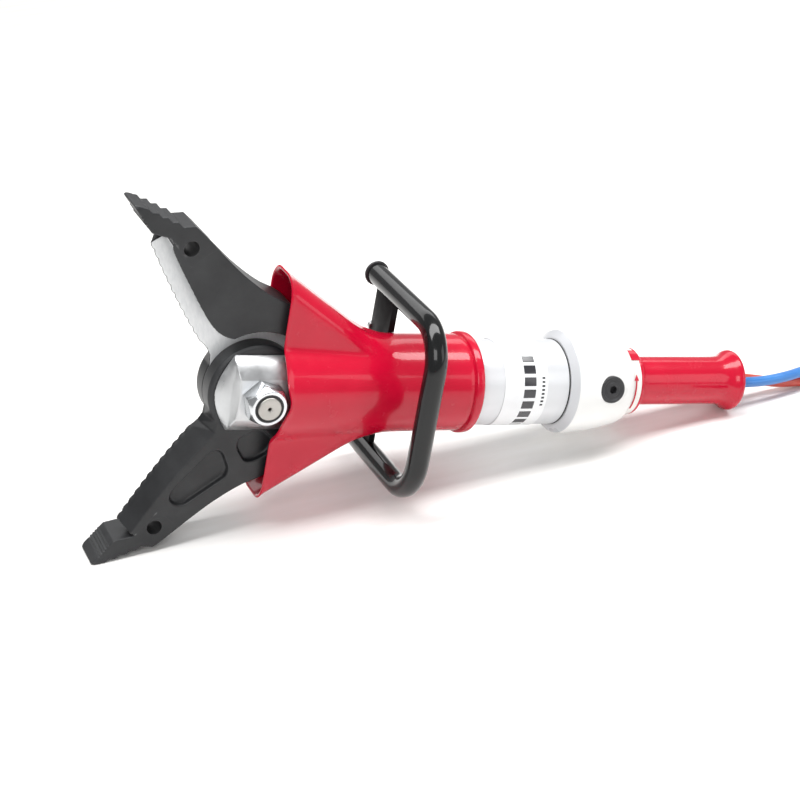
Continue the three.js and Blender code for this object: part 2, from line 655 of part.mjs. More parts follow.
add('return_spring', tube(springPath(), 0.9, 5, 48), BRIGHT_STEEL);
add('handle_collar', ringX([[SLEEVE_X[0], 22.3], [SLEEVE_X[0], SLEEVE_R], [SLEEVE_X[1], SLEEVE_R],
  [SLEEVE_X[1], 22.3]], 40), WHITE);

// A raised arc on the collar; the pointed one shows which way the grip turns.
function twistMark([x0, x1], [from, to], pointed) {
  const lift = (x, angle, r) => [x, -r * Math.cos(angle * RAD), r * Math.sin(angle * RAD)];
  const count = 12;
  const sections = [];
  for (let i = 0; i <= count; i += 1) {
    const angle = from + ((to - from) * i) / count;
    const tail = pointed && i > count - 3 ? (i === count ? -0.6 : 2.2) : 0.4;
    const radii = [SLEEVE_R + GAP, SLEEVE_R + 1];
    sections.push([lift(x0 - tail, angle, radii[0]), lift(x1 + tail, angle, radii[0]),
      lift(x1 + tail, angle, radii[1]), lift(x0 - tail, angle, radii[1])]);
  }
  return bandOf(sections);
}

// A band of four-cornered sections with flat ends.
function bandOf(sections) {
  const index = [];
  for (let s = 0; s < sections.length - 1; s += 1) {
    for (let i = 0; i < 4; i += 1) {
      const [a, b] = [s * 4 + i, s * 4 + ((i + 1) % 4)];
      index.push(a, b, b + 4, a, b + 4, a + 4);
    }
  }
  const last = (sections.length - 1) * 4;
  index.push(0, 2, 1, 0, 3, 2, last, last + 1, last + 2, last, last + 2, last + 3);
  const geometry = new THREE.BufferGeometry();
  geometry.setAttribute('position', new THREE.Float32BufferAttribute(sections.flat(2), 3));
  geometry.setIndex(index);
  return geometry;
}

add('twist_mark_arrow', twistMark([399, 401.2], [-28, 34], true), RED);
add('twist_mark_band', twistMark([399, 405.5], [58, 80], false), RED);

// ---------------------------------------------------------------- rear grip

add('grip_core_tube', ringX([[351, 12.4], [351, CORE_R], [530, CORE_R], [530, 12.4]], 36), SATIN_STEEL);
add('twist_grip', ringX([[384.3, CORE_R + GAP], [384.3, 17.2], [398, 17.2], [398, 22], [GRIP_X[0], 22],
  [GRIP_X[0], FLANGE_R], [409.8, FLANGE_R], [411.2, 33], [411.6, 27.4], [413.6, 25.6], [418, GRIP_R],
  [514, GRIP_R], [520, 25.6], [525, 27.8],
  [529, 30.6], [531.5, BELL_R], [534.5, BELL_R], [GRIP_X[1], 30.2], [GRIP_X[1], 25.5], [531, 23.5],
  [523, 21], [523, CORE_R + GAP]], 36), RED);
add('grip_retainer', ringX([[523.4, CORE_R + GAP], [523.4, 19.5], [526, 19.5], [526, CORE_R + GAP]], 32),
  BRIGHT_STEEL);
add('hose_grommet', ringX([[508, 0.5], [508, 12.1], [520, 12.1], [520, 0.5]], 32), BLACK_RUBBER);

tool.rotation.set(0, PITCH * RAD, 0);

// The origin is at the middle of the tool's footprint, on the ground that it rests on.
const extent = new THREE.Box3().setFromObject(tool, true);
const middle = extent.getCenter(new THREE.Vector3());
tool.position.set(-middle.x, -middle.y, -extent.min.z);

// ---------------------------------------------------------------- hoses

// Where each hose runs, measured from under the pivot bolt: out of the grip, down to the ground
// with the blue one crossing over the red one, and round in a half turn to its coupling.
const HOSES = {
  blue: {
    material: BLUE_HOSE,
    route: [[508.3, -HOSE_Y, 33.6], [532.7, -HOSE_Y, 28.3], [560, -6.5, 24], [590, -5, 22], [620, -1, 21.5],
      [650, 1, 20], [685, -7, 14.5], [716, -32, 8], [733, -68, 5.8], [727, -106, 5.8], [702, -137, 5.8],
      [666, -152, 5.8], [636, -153, 9], [618, -153, 12.5], [604, -153, 12.8]],
  },
  red: {
    material: RED_HOSE,
    route: [[508.3, HOSE_Y, 33.6], [532.7, HOSE_Y, 28.3], [560, 7, 19.5], [590, 7, 10], [620, 4, 5.9],
      [650, -8, 5.8], [677, -32, 5.8], [690, -64, 5.8], [684, -90, 5.8], [666, -109, 6.2], [642, -116, 8.2],
      [620, -116, 12.2], [604, -116, 12.8]],
  },
};

// The coupling on the end of a hose: x falls from the hose end.
function coupling(name, [x, y, z]) {
  const turned = (profile, segments) =>
    turnedX(profile.map(([along, r]) => [x - along, r]), segments).translate(0, y, z);
  const ferrule = [[0.6, 0], [0.6, 8], [1.6, 8.6], [13, 8.6], [14, 8], [14, 0]];
  const coupler = [[14.3, 0], [14.3, 9.5], [18, 10.4], [22, 10.4], [22, 8.8], [40, 8.8], [40, 0]];
  const sleeve = [[27, 8.8 + GAP], [27, 11.6], [28, 12.1], [39, 12.1], [40, 11.6], [40, 8.8 + GAP]];
  const cap = [[40.4, 0], [40.4, 11.6], [42, 12.2], [50, 12.2], [52, 10.5], [52, 0]];
  add(`${name}_ferrule`, turned(ferrule, 20), SATIN_STEEL, ground);
  add(`${name}_coupler`, turned(coupler, 24), BRIGHT_STEEL, ground);
  add(`${name}_lock_sleeve`, turned([...sleeve, sleeve[0]], 28), SATIN_STEEL, ground);
  add(`${name}_dust_cap`, turned(cap, 24), BLACK_RUBBER, ground);
}

ground.position.set(tool.position.x, tool.position.y, 0);
for (const [colour, { material, route }] of Object.entries(HOSES)) {
  const curve = new THREE.CatmullRomCurve3(route.map((p) => new THREE.Vector3(...p)));
  add(`hose_${colour}`, tube(curve, HOSE_R, 10, 30), material, ground);
  coupling(`hose_${colour}`, route.at(-1));
}

const spreader = new THREE.Group();
spreader.add(tool, ground);

export default spreader;
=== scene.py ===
"""Looks of the hydraulic rescue spreader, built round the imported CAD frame."""
import math

import bmesh
import bpy
import numpy as np
from mathutils import Matrix, Vector


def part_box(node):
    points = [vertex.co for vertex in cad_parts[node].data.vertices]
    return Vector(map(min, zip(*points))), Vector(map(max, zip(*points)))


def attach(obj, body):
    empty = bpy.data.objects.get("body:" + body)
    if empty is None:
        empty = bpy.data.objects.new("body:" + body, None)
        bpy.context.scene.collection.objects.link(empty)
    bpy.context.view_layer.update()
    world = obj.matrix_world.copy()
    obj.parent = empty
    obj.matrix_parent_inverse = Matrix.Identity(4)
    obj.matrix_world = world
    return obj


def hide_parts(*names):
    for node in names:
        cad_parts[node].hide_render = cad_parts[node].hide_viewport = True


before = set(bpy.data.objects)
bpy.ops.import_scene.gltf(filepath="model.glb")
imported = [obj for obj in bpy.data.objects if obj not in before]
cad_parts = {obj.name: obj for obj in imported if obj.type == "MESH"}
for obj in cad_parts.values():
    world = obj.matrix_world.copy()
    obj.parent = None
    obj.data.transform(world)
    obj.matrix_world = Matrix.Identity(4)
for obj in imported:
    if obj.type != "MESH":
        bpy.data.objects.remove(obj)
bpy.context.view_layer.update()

PITCH = math.radians(12.2)
JAW_OPEN = math.radians(51.7)
MM = 0.001


# ---------------------------------------------------------------- places

def centre(node):
    low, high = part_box(node)
    return (low + high) / 2


PIVOT = Vector((centre("pivot_nut").x, centre("upper_arm").y, centre("pivot_nut").z))
TOOL = Matrix.Translation(PIVOT) @ Matrix.Rotation(PITCH, 4, "Y")
GROUND = Matrix.Translation((PIVOT.x, PIVOT.y, 0))
HALF_TURN = Matrix.Rotation(math.pi, 4, "X")


def at(x, y, z):
    """A point of the tool's own frame, in millimetres, as a place in the row frame."""
    return TOOL @ Vector((x * MM, y * MM, z * MM))


# ---------------------------------------------------------------- camera

LENS = 85.1
CAMERA_AT = (-617.6, -1504.4, 684.3)
CAMERA_RIGHT = (0.906, -0.3881, 0.1689)
CAMERA_AHEAD = (0.4232, 0.8208, -0.3837)


def make_camera():
    """The camera, placed and aimed in the tool's own frame."""
    data = bpy.data.cameras.new("camera")
    data.sensor_width = 36
    data.lens = LENS
    camera = bpy.data.objects.new("camera", data)
    bpy.context.collection.objects.link(camera)
    turn = TOOL.to_3x3()
    right = turn @ Vector(CAMERA_RIGHT).normalized()
    ahead = turn @ Vector(CAMERA_AHEAD).normalized()
    up = right.cross(ahead).normalized()
    right = ahead.cross(up)
    place = Matrix((right, up, -ahead)).transposed().to_4x4()
    place.translation = at(*CAMERA_AT)
    camera.matrix_world = place
    bpy.context.scene.camera = camera


make_camera()


# ---------------------------------------------------------------- materials

class Shader:
    """A material's node tree, with short calls for the nodes that the finishes below share."""

    def __init__(self, name, color=(0.5, 0.5, 0.5), roughness=0.5, metallic=0.0, **sockets):
        self.material = bpy.data.materials.new(name)
        self.material.use_nodes = True
        self.tree = self.material.node_tree
        self.tree.nodes.clear()
        self.out = self.node("ShaderNodeOutputMaterial")
        self.bsdf = self.node("ShaderNodeBsdfPrincipled")
        self.link(self.bsdf.outputs[0], self.out.inputs[0])
        self.set("Base Color", (*color, 1))
        self.set("Roughness", roughness)
        self.set("Metallic", metallic)
        for key, value in sockets.items():
            self.set(key.replace("_", " "), value)
        self.coords = self.node("ShaderNodeTexCoord")

    def node(self, kind):
        return self.tree.nodes.new(kind)

    def link(self, a, b):
        self.tree.links.new(a, b)

    def set(self, socket, value):
        self.bsdf.inputs[socket].default_value = value

    def stretched(self, scale):
        mapping = self.node("ShaderNodeMapping")
        mapping.inputs["Scale"].default_value = scale
        self.link(self.coords.outputs["Object"], mapping.inputs["Vector"])
        return mapping.outputs[0]

    def noise(self, scale, detail=4.0, roughness=0.55, stretch=(1, 1, 1)):
        texture = self.node("ShaderNodeTexNoise")
        texture.inputs["Scale"].default_value = scale
        texture.inputs["Detail"].default_value = detail
        texture.inputs["Roughness"].default_value = roughness
        self.link(self.stretched(stretch), texture.inputs["Vector"])
        return texture.outputs["Fac"]

    def ramp(self, value, stops):
        ramp = self.node("ShaderNodeValToRGB")
        elements = ramp.color_ramp.elements
        while len(elements) < len(stops):
            elements.new(0.5)
        for element, (place, color) in zip(elements, stops):
            element.position = place
            element.color = (*color, 1)
        self.link(value, ramp.inputs[0])
        return ramp.outputs[0]

    def math(self, operation, *values):
        node = self.node("ShaderNodeMath")
        node.operation = operation
        for socket, value in zip(node.inputs, values):
            if isinstance(value, (int, float)):
                socket.default_value = value
            else:
                self.link(value, socket)
        return node.outputs[0]

    def span(self, value, low, high, to_low=0.0, to_high=1.0):
        node = self.node("ShaderNodeMapRange")
        for name, number in (("From Min", low), ("From Max", high), ("To Min", to_low), ("To Max", to_high)):
            node.inputs[name].default_value = number
        self.link(value, node.inputs["Value"])
        return node.outputs[0]

    def axis(self, letter, source="Object"):
        node = self.node("ShaderNodeSeparateXYZ")
        self.link(self.coords.outputs[source], node.inputs[0])
        return node.outputs[letter]

    def mix(self, factor, a, b):
        node = self.node("ShaderNodeMix")
        node.data_type = "RGBA"
        for socket, value in ((node.inputs[0], factor), (node.inputs[6], a), (node.inputs[7], b)):
            if isinstance(value, tuple):
                socket.default_value = (*value, 1)
            else:
                self.link(value, socket)
        return node.outputs[2]

    def bump(self, height, strength, distance):
        node = self.node("ShaderNodeBump")
        node.inputs["Strength"].default_value = strength
        node.inputs["Distance"].default_value = distance
        self.link(height, node.inputs["Height"])
        self.link(node.outputs[0], self.bsdf.inputs["Normal"])

    def wear(self, low, high):
        """High along outer edges."""
        geometry = self.node("ShaderNodeNewGeometry")
        return self.span(geometry.outputs["Pointiness"], low, high)

    def color(self, value):
        self.link(value, self.bsdf.inputs["Base Color"])

    def rough(self, value):
        self.link(value, self.bsdf.inputs["Roughness"])

    def metal(self, value):
        self.link(value, self.bsdf.inputs["Metallic"])


def enamel(name, color, deep, roughness=0.22, coat=0.5, peel=0.03, shine=0.35):
    """Sprayed gloss enamel: slight cloudiness and orange peel."""
    s = Shader(name, color, roughness, 0.0, Coat_Weight=coat, Coat_Roughness=0.05, Specular_IOR_Level=shine)
    cloud = s.noise(14, 3)
    s.color(s.ramp(cloud, [(0.3, deep), (0.7, color)]))
    s.rough(s.span(s.noise(60, 5), 0.3, 0.7, roughness * 0.8, roughness * 1.35))
    s.bump(s.noise(260, 2), peel, 0.0002)
    return s.material


def forged(name):
    """Black painted forging: fine cast skin, patchy sheen and paler rubbed edges."""
    color, light = (0.011, 0.0115, 0.013), (0.026, 0.027, 0.029)
    s = Shader(name, color, 0.42, 0.15, Specular_IOR_Level=0.5)
    patch = s.noise(22, 5, 0.6)
    speck = s.noise(900, 2)
    base = s.mix(s.span(patch, 0.35, 0.7), color, light)
    s.color(s.mix(s.math("MULTIPLY", s.wear(0.53, 0.66), 0.35), base, (0.2, 0.2, 0.2)))
    s.rough(s.span(patch, 0.3, 0.7, 0.34, 0.52))
    s.bump(s.math("ADD", s.math("MULTIPLY", speck, 0.4), s.noise(160, 4)), 0.22, 0.0003)
    return s


def blade_steel():
    """The arms' finish: black forging whose shear faces, on the shear plane, are ground bright."""
    s = forged("arm_steel")
    facing = s.span(s.axis("Y", "Normal"), -0.9, -0.97)
    near = s.span(s.math("ABSOLUTE", s.math("SUBTRACT", s.axis("Y"), 0.0002)), 0.0009, 0.0006)
    ground = s.math("MULTIPLY", facing, near)
    grind = s.noise(240, 3, 0.6, (1.5, 1, 0.5))
    black = s.bsdf.inputs["Base Color"].links[0].from_socket
    pale = s.ramp(grind, [(0.3, (0.7, 0.715, 0.73)), (0.7, (0.8, 0.81, 0.82))])
    s.color(s.mix(ground, black, pale))
    s.metal(s.span(ground, 0, 1, 0.15, 0.3))
    s.rough(s.span(ground, 0, 1, 0.42, 0.4))
    return s.material


def plated(name, color, roughness=0.25, streak=(1, 1, 1), strength=0.06):
    """Plated or polished steel with fine tool marks and slight staining."""
    s = Shader(name, color, roughness, 1.0)
    lines = s.noise(420, 3, 0.6, streak)
    stain = s.noise(35, 4)
    dark = tuple(c * 0.82 for c in color)
    s.color(s.ramp(stain, [(0.3, dark), (0.65, color)]))
    s.rough(s.span(s.math("ADD", s.math("MULTIPLY", lines, 0.5), s.math("MULTIPLY", stain, 0.5)),
                   0.3, 0.7, roughness * 0.7, roughness * 1.4))
    s.bump(lines, strength, 0.0001)
    return s.material


def rubber(name, color=(0.015, 0.015, 0.016), roughness=0.55):
    """Moulded rubber or soft plastic with a fine grain."""
    s = Shader(name, color, roughness, 0.0, Specular_IOR_Level=0.4)
    grain = s.noise(700, 3)
    light = tuple(min(1, c * 1.8 + 0.01) for c in color)
    s.color(s.ramp(s.noise(40, 4), [(0.35, color), (0.75, light)]))
    s.rough(s.span(grain, 0.3, 0.7, roughness * 0.85, roughness * 1.15))
    s.bump(grain, 0.15, 0.0002)
    return s.material


def hose_cover(name, color, deep):
    """Smooth thermoplastic hose cover with the braid just showing through."""
    s = Shader(name, color, 0.28, 0.0, Coat_Weight=0.4, Coat_Roughness=0.1, Specular_IOR_Level=0.5)
    weave = s.node("ShaderNodeTexWave")
    weave.inputs["Scale"].default_value = 180
    weave.inputs["Distortion"].default_value = 1.5
    s.link(s.stretched((1, 1, 1)), weave.inputs["Vector"])
    s.color(s.ramp(s.noise(30, 3), [(0.3, deep), (0.7, color)]))
    s.bump(weave.outputs["Fac"], 0.08, 0.0002)
    return s.material


def anodised(name, color):
    """Pale turned aluminium: faint rings round the axis."""
    s = Shader(name, color, 0.34, 0.25, Specular_IOR_Level=0.5)
    rings = s.noise(300, 2, 0.5, (6, 0.05, 0.05))
    s.color(s.ramp(s.noise(12, 3), [(0.3, tuple(c * 0.93 for c in color)), (0.7, color)]))
    s.rough(s.span(rings, 0.3, 0.7, 0.28, 0.42))
    s.bump(rings, 0.05, 0.0002)
    return s.material


def printed_film():
    """White film with a plain pattern of bars where a maker's panel would be."""
    s = Shader("label_film", (0.83, 0.84, 0.85), 0.3, 0.0, Coat_Weight=0.3, Coat_Roughness=0.1)
    x = s.axis("X")
    turn = s.math("ARCTAN2", s.axis("Z"), s.math("MULTIPLY", s.axis("Y"), -1))
    pitch = s.math("MULTIPLY", turn, 3.6)
    stripes = s.math("COMPARE", s.math("FRACT", pitch), 0.5, 0.36)
    inside = s.math("COMPARE", x, 0.2745, 0.0065)
    reach = s.math("COMPARE", turn, 0.05, 0.98)
    bars = s.math("MULTIPLY", s.math("MULTIPLY", stripes, inside), reach)
    dashes = s.math("COMPARE", s.math("FRACT", s.math("MULTIPLY", turn, 11)), 0.5, 0.27)
    rule = s.math("MULTIPLY", s.math("COMPARE", x, 0.2892, 0.0016), s.math("COMPARE", turn, 0.2, 0.36))
    rule = s.math("MULTIPLY", rule, dashes)
    ink = s.math("MAXIMUM", bars, rule)
    paper = s.ramp(s.noise(18, 3), [(0.3, (0.76, 0.77, 0.79)), (0.7, (0.83, 0.84, 0.85))])
    s.color(s.mix(ink, paper, (0.03, 0.03, 0.035)))
    s.rough(s.span(ink, 0, 1, 0.3, 0.2))
    s.bump(s.noise(150, 2), 0.05, 0.0002)
    return s.material


def body_enamel():
    """White enamel, with painted shade: the front chamfer is painted grey."""
    s = Shader("white_enamel", (0.8, 0.8, 0.79), 0.28, 0.0, Coat_Weight=0.4, Coat_Roughness=0.1)
    paper = s.ramp(s.noise(12, 3), [(0.3, (0.76, 0.76, 0.75)), (0.7, (0.8, 0.8, 0.79))])
    # painted shade: the chamfer in front of x = 326 mm is painted grey, as if turned away from the light
    chamfer_shade = s.span(s.axis("X"), 0.3262, 0.3258)
    s.color(s.mix(chamfer_shade, paper, (0.53, 0.54, 0.56)))
    s.rough(s.span(s.noise(25, 2), 0.3, 0.7, 0.27, 0.31))
    s.bump(s.noise(30, 1), 0.004, 0.0001)
    return s.material


RED = enamel("red_enamel", (0.54, 0.003, 0.028), (0.46, 0.002, 0.022), 0.22, 0.5, 0.02, 0.2)
WHITE = enamel("white_collar_enamel", (0.8, 0.79, 0.76), (0.74, 0.73, 0.7), 0.24)
BODY = body_enamel()
BLACK_GLOSS = enamel("black_gloss_enamel", (0.004, 0.0045, 0.005), (0.008, 0.0085, 0.009), 0.2, 0.6, 0.03,
                     0.12)
FORGED = forged("forged_black").material
ARM = blade_steel()
SATIN = plated("satin_plate", (0.6, 0.61, 0.62), 0.36, (1, 1, 0.08), 0.04)
ZINC = plated("bright_zinc", (0.76, 0.78, 0.8), 0.22, (1, 1, 1), 0.02)
BRIGHT = plated("bright_steel", (0.7, 0.7, 0.7), 0.16)
BARREL = anodised("anodised_barrel", (0.66, 0.67, 0.69))
BOLT = plated("bolt_steel", (0.46, 0.445, 0.42), 0.36, (1, 0.1, 1), 0.03)
PISTON = plated("piston_metal", (0.6, 0.6, 0.6), 0.3)
BRONZE = plated("bearing_bronze", (0.45, 0.25, 0.08), 0.32)
RUBBER = rubber("black_rubber")
SOFT_BLACK = rubber("black_cap", (0.02, 0.02, 0.022), 0.45)
DULL_BLACK = enamel("black_satin_enamel", (0.006, 0.006, 0.0065), (0.01, 0.01, 0.011), 0.45, 0.08, 0.03,
                    0.05)
FILM = printed_film()
BLUE = hose_cover("blue_hose_cover", (0.03, 0.2, 0.55), (0.02, 0.15, 0.46))
RED_HOSE = hose_cover("red_hose_cover", (0.6, 0.08, 0.05), (0.5, 0.05, 0.03))


# ---------------------------------------------------------------- mesh helpers

def piece(name, mesh, material, body, place, stands_for):
    """An object that holds a finished mesh, rides on a body and stands for a CAD node."""
    obj = bpy.data.objects.new(name, mesh)
    bpy.context.collection.objects.link(obj)
    obj.matrix_world = place
    obj.data.materials.clear()
    obj.data.materials.append(material)
    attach(obj, body)
    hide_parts(stands_for)


def mesh_of(name, points, faces, sharp=35):
    """A mesh from points in millimetres: smooth, with its outer side out and its hard edges kept."""
    mesh = bpy.data.meshes.new(name)
    mesh.from_pydata([Vector(p) * MM for p in points], [], faces)
    return tidy(mesh, sharp)


def tidy(mesh, sharp=35):
    bm = bmesh.new()
    bm.from_mesh(mesh)
    bmesh.ops.remove_doubles(bm, verts=bm.verts, dist=1e-7)
    bmesh.ops.recalc_face_normals(bm, faces=bm.faces)
    limit = math.radians(sharp)
    for edge in bm.edges:
        edge.smooth = not edge.is_manifold or edge.calc_face_angle(0) < limit
    for face in bm.faces:
        face.smooth = True
    bm.to_mesh(mesh)
    bm.free()
    return mesh


def modified(mesh, *modifiers, sharp=35):
    """The mesh after a stack of modifiers, each given as (type, settings)."""
    obj = bpy.data.objects.new("work", mesh)
    bpy.context.collection.objects.link(obj)
    for kind, settings in modifiers:
        modifier = obj.modifiers.new(kind, kind)
        for key, value in settings.items():
            setattr(modifier, key, value)
    evaluated = obj.evaluated_get(bpy.context.evaluated_depsgraph_get())
    result = bpy.data.meshes.new_from_object(evaluated)
    bpy.data.objects.remove(obj)
    return tidy(result, sharp)


def combined(mesh, *others, operation="DIFFERENCE"):
    """Booleans of one mesh with others, in turn."""
    for other in others:
        tool = bpy.data.objects.new("tool", other)
        bpy.context.collection.objects.link(tool)
        mesh = modified(mesh, ("BOOLEAN", {"operation": operation, "object": tool, "solver": "EXACT"}))
        bpy.data.objects.remove(tool)
    return mesh


def rounded(points, radius, closed=True, steps=4):
    """A polyline with its corners rounded off."""
    count = len(points)
    result = []
    for i, corner in enumerate(points):
        if not closed and i in (0, count - 1):
            result.append(tuple(corner))
            continue
        p, a, b = (np.array(q, float) for q in (corner, points[i - 1], points[(i + 1) % count]))
        reach = min(radius, np.linalg.norm(a - p) * 0.45, np.linalg.norm(b - p) * 0.45)
        start = p + (a - p) / np.linalg.norm(a - p) * reach
        end = p + (b - p) / np.linalg.norm(b - p) * reach
        for k in range(steps + 1):
            t = k / steps
            result.append(tuple((1 - t) ** 2 * start + 2 * t * (1 - t) * p + t * t * end))
    return result


def spline(points, spacing):
    """A centripetal curve through points, resampled about every so many millimetres."""
    pts = [np.array(p, float) for p in points]
    pts = [2 * pts[0] - pts[1], *pts, 2 * pts[-1] - pts[-2]]
    result = []
    for p0, p1, p2, p3 in zip(pts, pts[1:], pts[2:], pts[3:]):
        d1, d2, d3 = (max(np.linalg.norm(b - a) ** 0.5, 1e-4) for a, b in ((p0, p1), (p1, p2), (p2, p3)))
        m1 = (p2 - p1) + d2 * ((p1 - p0) / d1 - (p2 - p0) / (d1 + d2))
        m2 = (p2 - p1) + d2 * ((p3 - p2) / d3 - (p3 - p1) / (d2 + d3))
        count = max(1, int(round(np.linalg.norm(p2 - p1) / spacing)))
        for k in range(count):
            t = k / count
            result.append(tuple((2 * t ** 3 - 3 * t ** 2 + 1) * p1 + (t ** 3 - 2 * t ** 2 + t) * m1
                                + (-2 * t ** 3 + 3 * t ** 2) * p2 + (t ** 3 - t ** 2) * m2))
    result.append(tuple(pts[-2]))
    return result


def bridged(pairs, segments):
    """Faces between pairs of point rings. A ring of one point closes to a tip."""
    faces = []
    for a, b in pairs:
        for k in range(segments):
            n = (k + 1) % segments
            quad = [a[k % len(a)], a[n % len(a)], b[n % len(b)], b[k % len(b)]]
            face = list(dict.fromkeys(quad))
            if len(face) > 2:
                faces.append(face)
    return faces


def turned(name, profile, segments=96, closed=False, sharp=35, place=None):
    """A profile of (x, radius) turned about X. An open profile starts and ends on the axis."""
    points, rings = [], []
    for x, r in profile:
        if r < 1e-6:
            rings.append([len(points)])
            points.append((x, 0, 0))
            continue
        rings.append(range(len(points), len(points) + segments))
        points += [(x, r * math.cos(a), r * math.sin(a))
                   for a in (2 * math.pi * k / segments for k in range(segments))]
    pairs = list(zip(rings, rings[1:])) + ([(rings[-1], rings[0])] if closed else [])
    if place is not None:
        points = [tuple(place @ Vector(p)) for p in points]
    return mesh_of(name, points, bridged(pairs, segments), sharp)


def ring(name, profile, radius=0.4, segments=96, **options):
    return turned(name, rounded(profile, radius), segments, closed=True, **options)


ALONG_Y = Matrix.Rotation(math.pi / 2, 4, "Z")


def plate(name, outline, y0, y1):
    """An outline of (x, z) points between two values of y."""
    count = len(outline)
    points = [(x, y0, z) for x, z in outline] + [(x, y1, z) for x, z in outline]
    faces = [list(range(count)), list(range(2 * count - 1, count - 1, -1))]
    faces += [[i, (i + 1) % count, (i + 1) % count + count, i + count] for i in range(count)]
    return mesh_of(name, points, faces)


def lofted(name, sections):
    """Closed sections with the same number of points, joined in turn and capped."""
    count = len(sections[0])
    points = [p for section in sections for p in section]
    faces = [list(range(count)), list(range(len(points) - 1, len(points) - count - 1, -1))]
    for s in range(len(sections) - 1):
        base = s * count
        faces += [[base + i, base + (i + 1) % count, base + (i + 1) % count + count, base + i + count]
                  for i in range(count)]
    return mesh_of(name, points, faces)


def rod_y(name, y0, y1, radius, x=0, z=0, segments=48):
    shift = Matrix.Translation((x, 0, z)) @ ALONG_Y
    return turned(name, [(y0, 0), (y0, radius), (y1, radius), (y1, 0)], segments, place=shift)


def block(name, x0, x1, y0, y1, z0, z1):
    return plate(name, [(x0, z0), (x1, z0), (x1, z1), (x0, z1)], y0, y1)


def skin(mesh, voxel, smooth):
    """A forged skin: one closed surface whose edges are softened."""
    return modified(
        mesh,
        ("REMESH", {"mode": "VOXEL", "voxel_size": voxel * MM, "use_smooth_shade": True}),
        ("SMOOTH", {"factor": 0.5, "iterations": smooth}),
        sharp=80,
    )


def levelled(mesh, turn):
    """A copy turned about Y into the row frame's directions, so that its box fits it closely."""
    result = mesh.copy()
    result.transform(Matrix.Rotation(turn, 4, "Y"))
    return result


def joined(*meshes):
    """Meshes put in one, without a boolean."""
    bm = bmesh.new()
    for mesh in meshes:
        bm.from_mesh(mesh)
    result = bpy.data.meshes.new("joined")
    bm.to_mesh(result)
    bm.free()
    return result


# ---------------------------------------------------------------- hoses

HOSES = {
    "blue": (BLUE, [
        (508.3, -6, 33.6), (532.7, -6, 28.3), (560, -6.5, 24), (590, -5, 22), (620, -1, 21.5), (650, 1, 20),
        (685, -7, 14.5), (716, -32, 8), (733, -68, 5.8), (727, -106, 5.8), (702, -137, 5.8), (666, -152, 5.8),
        (636, -153, 9), (618, -153, 12.5), (604, -153, 12.8)]),
    "red": (RED_HOSE, [
        (508.3, 6, 33.6), (532.7, 6, 28.3), (560, 7, 19.5), (590, 7, 10), (620, 4, 5.9), (650, -8, 5.8),
        (677, -32, 5.8), (690, -64, 5.8), (684, -90, 5.8), (666, -109, 6.2), (642, -116, 8.2),
        (620, -116, 12.2), (604, -116, 12.8)]),
}
HOSE_D = 0.011


def make_hose(colour, material, route):
    line = [GROUND @ (Vector(p) * MM) for p in spline(route, 7)]
    curve = bpy.data.curves.new(f"hose_{colour}_cover", "CURVE")
    curve.dimensions = "3D"
    curve.bevel_depth = HOSE_D / 2
    curve.bevel_resolution = 8
    curve.use_fill_caps = True
    path = curve.splines.new("POLY")
    path.points.add(len(line) - 1)
    for point, place in zip(path.points, line):
        point.co = (*place, 1)
    path.use_smooth = True
    curve.materials.append(material)
    obj = bpy.data.objects.new(f"hose_{colour}_cover", curve)
    bpy.context.collection.objects.link(obj)
    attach(obj, "frame")
    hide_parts(f"hose_{colour}")
    length = sum((b - a).length for a, b in zip(line, line[1:]))
    return obj, line, length


def coupling(colour, end):
    """The quick coupling on a hose's far end, from the crimped ferrule to the dust cap."""
    name = f"hose_{colour}"
    place = GROUND @ Matrix.Translation(Vector(end) * MM) @ Matrix.Rotation(math.pi, 4, "Z")
    crimps = [(0.6, 0), (0.6, 7.9), (1.4, 8.6)]
    for k in range(3):
        x = 3 + 3.4 * k
        crimps += [(x, 8.6), (x + 0.5, 8.0), (x + 1.9, 8.0), (x + 2.4, 8.6)]
    crimps += [(13.2, 8.6), (14, 7.9), (14, 0)]
    ferrule = turned(f"{name}_crimp", rounded(crimps, 0.25, False, 2), 48)
    piece(f"{name}_crimp", ferrule, SATIN, "frame", place, f"{name}_ferrule")
    body = [(14.3, 0), (14.3, 9.4), (15, 10.4), (21.4, 10.4), (22, 9.8), (22, 8.8), (40, 8.8), (40, 0)]
    coupler = turned(f"{name}_coupler_body", rounded(body, 0.35, False, 3), 48)
    piece(f"{name}_coupler_body", coupler, BRIGHT, "frame", place, f"{name}_coupler")
    sleeve = [(27, 9.1), (27, 11.5), (27.8, 12.1)]
    for k in range(4):
        x = 29 + 2.2 * k
        sleeve += [(x, 12.1), (x + 0.4, 11.6), (x + 1.2, 11.6), (x + 1.6, 12.1)]
    sleeve += [(39.2, 12.1), (40, 11.4), (40, 9.1)]
    lock = turned(f"{name}_lock_ring", rounded(sleeve, 0.2, True, 2), 48, closed=True)
    piece(f"{name}_lock_ring", lock, SATIN, f"{colour}_lock", place, f"{name}_lock_sleeve")
    cap = [(40.4, 0), (40.4, 11.6), (41, 12.2), (43.5, 12.2), (44.1, 11.5), (45.2, 11.5), (45.8, 12.2),
           (49.8, 12.2), (52, 10), (52, 3.2), (51.2, 2.4), (51.2, 0)]
    dust = turned(f"{name}_cap", rounded(cap, 0.4, False, 3), 48)
    piece(f"{name}_cap", dust, SOFT_BLACK, "frame", place, f"{name}_dust_cap")
    return [f"{name}_crimp", f"{name}_coupler_body", f"{name}_lock_ring", f"{name}_cap"]


for colour, (material, route) in HOSES.items():
    hose, line, length = make_hose(colour, material, route)
    parts = coupling(colour, route[-1])


# ---------------------------------------------------------------- guard

WALL = 2.4
GUARD_REAR = 211
WING_HALF = 28


def guard_circle(x):
    return float(np.interp(x, [18, 45, 80, 118, 222], [53, 51.5, 49.5, 47.5, 47.5]))


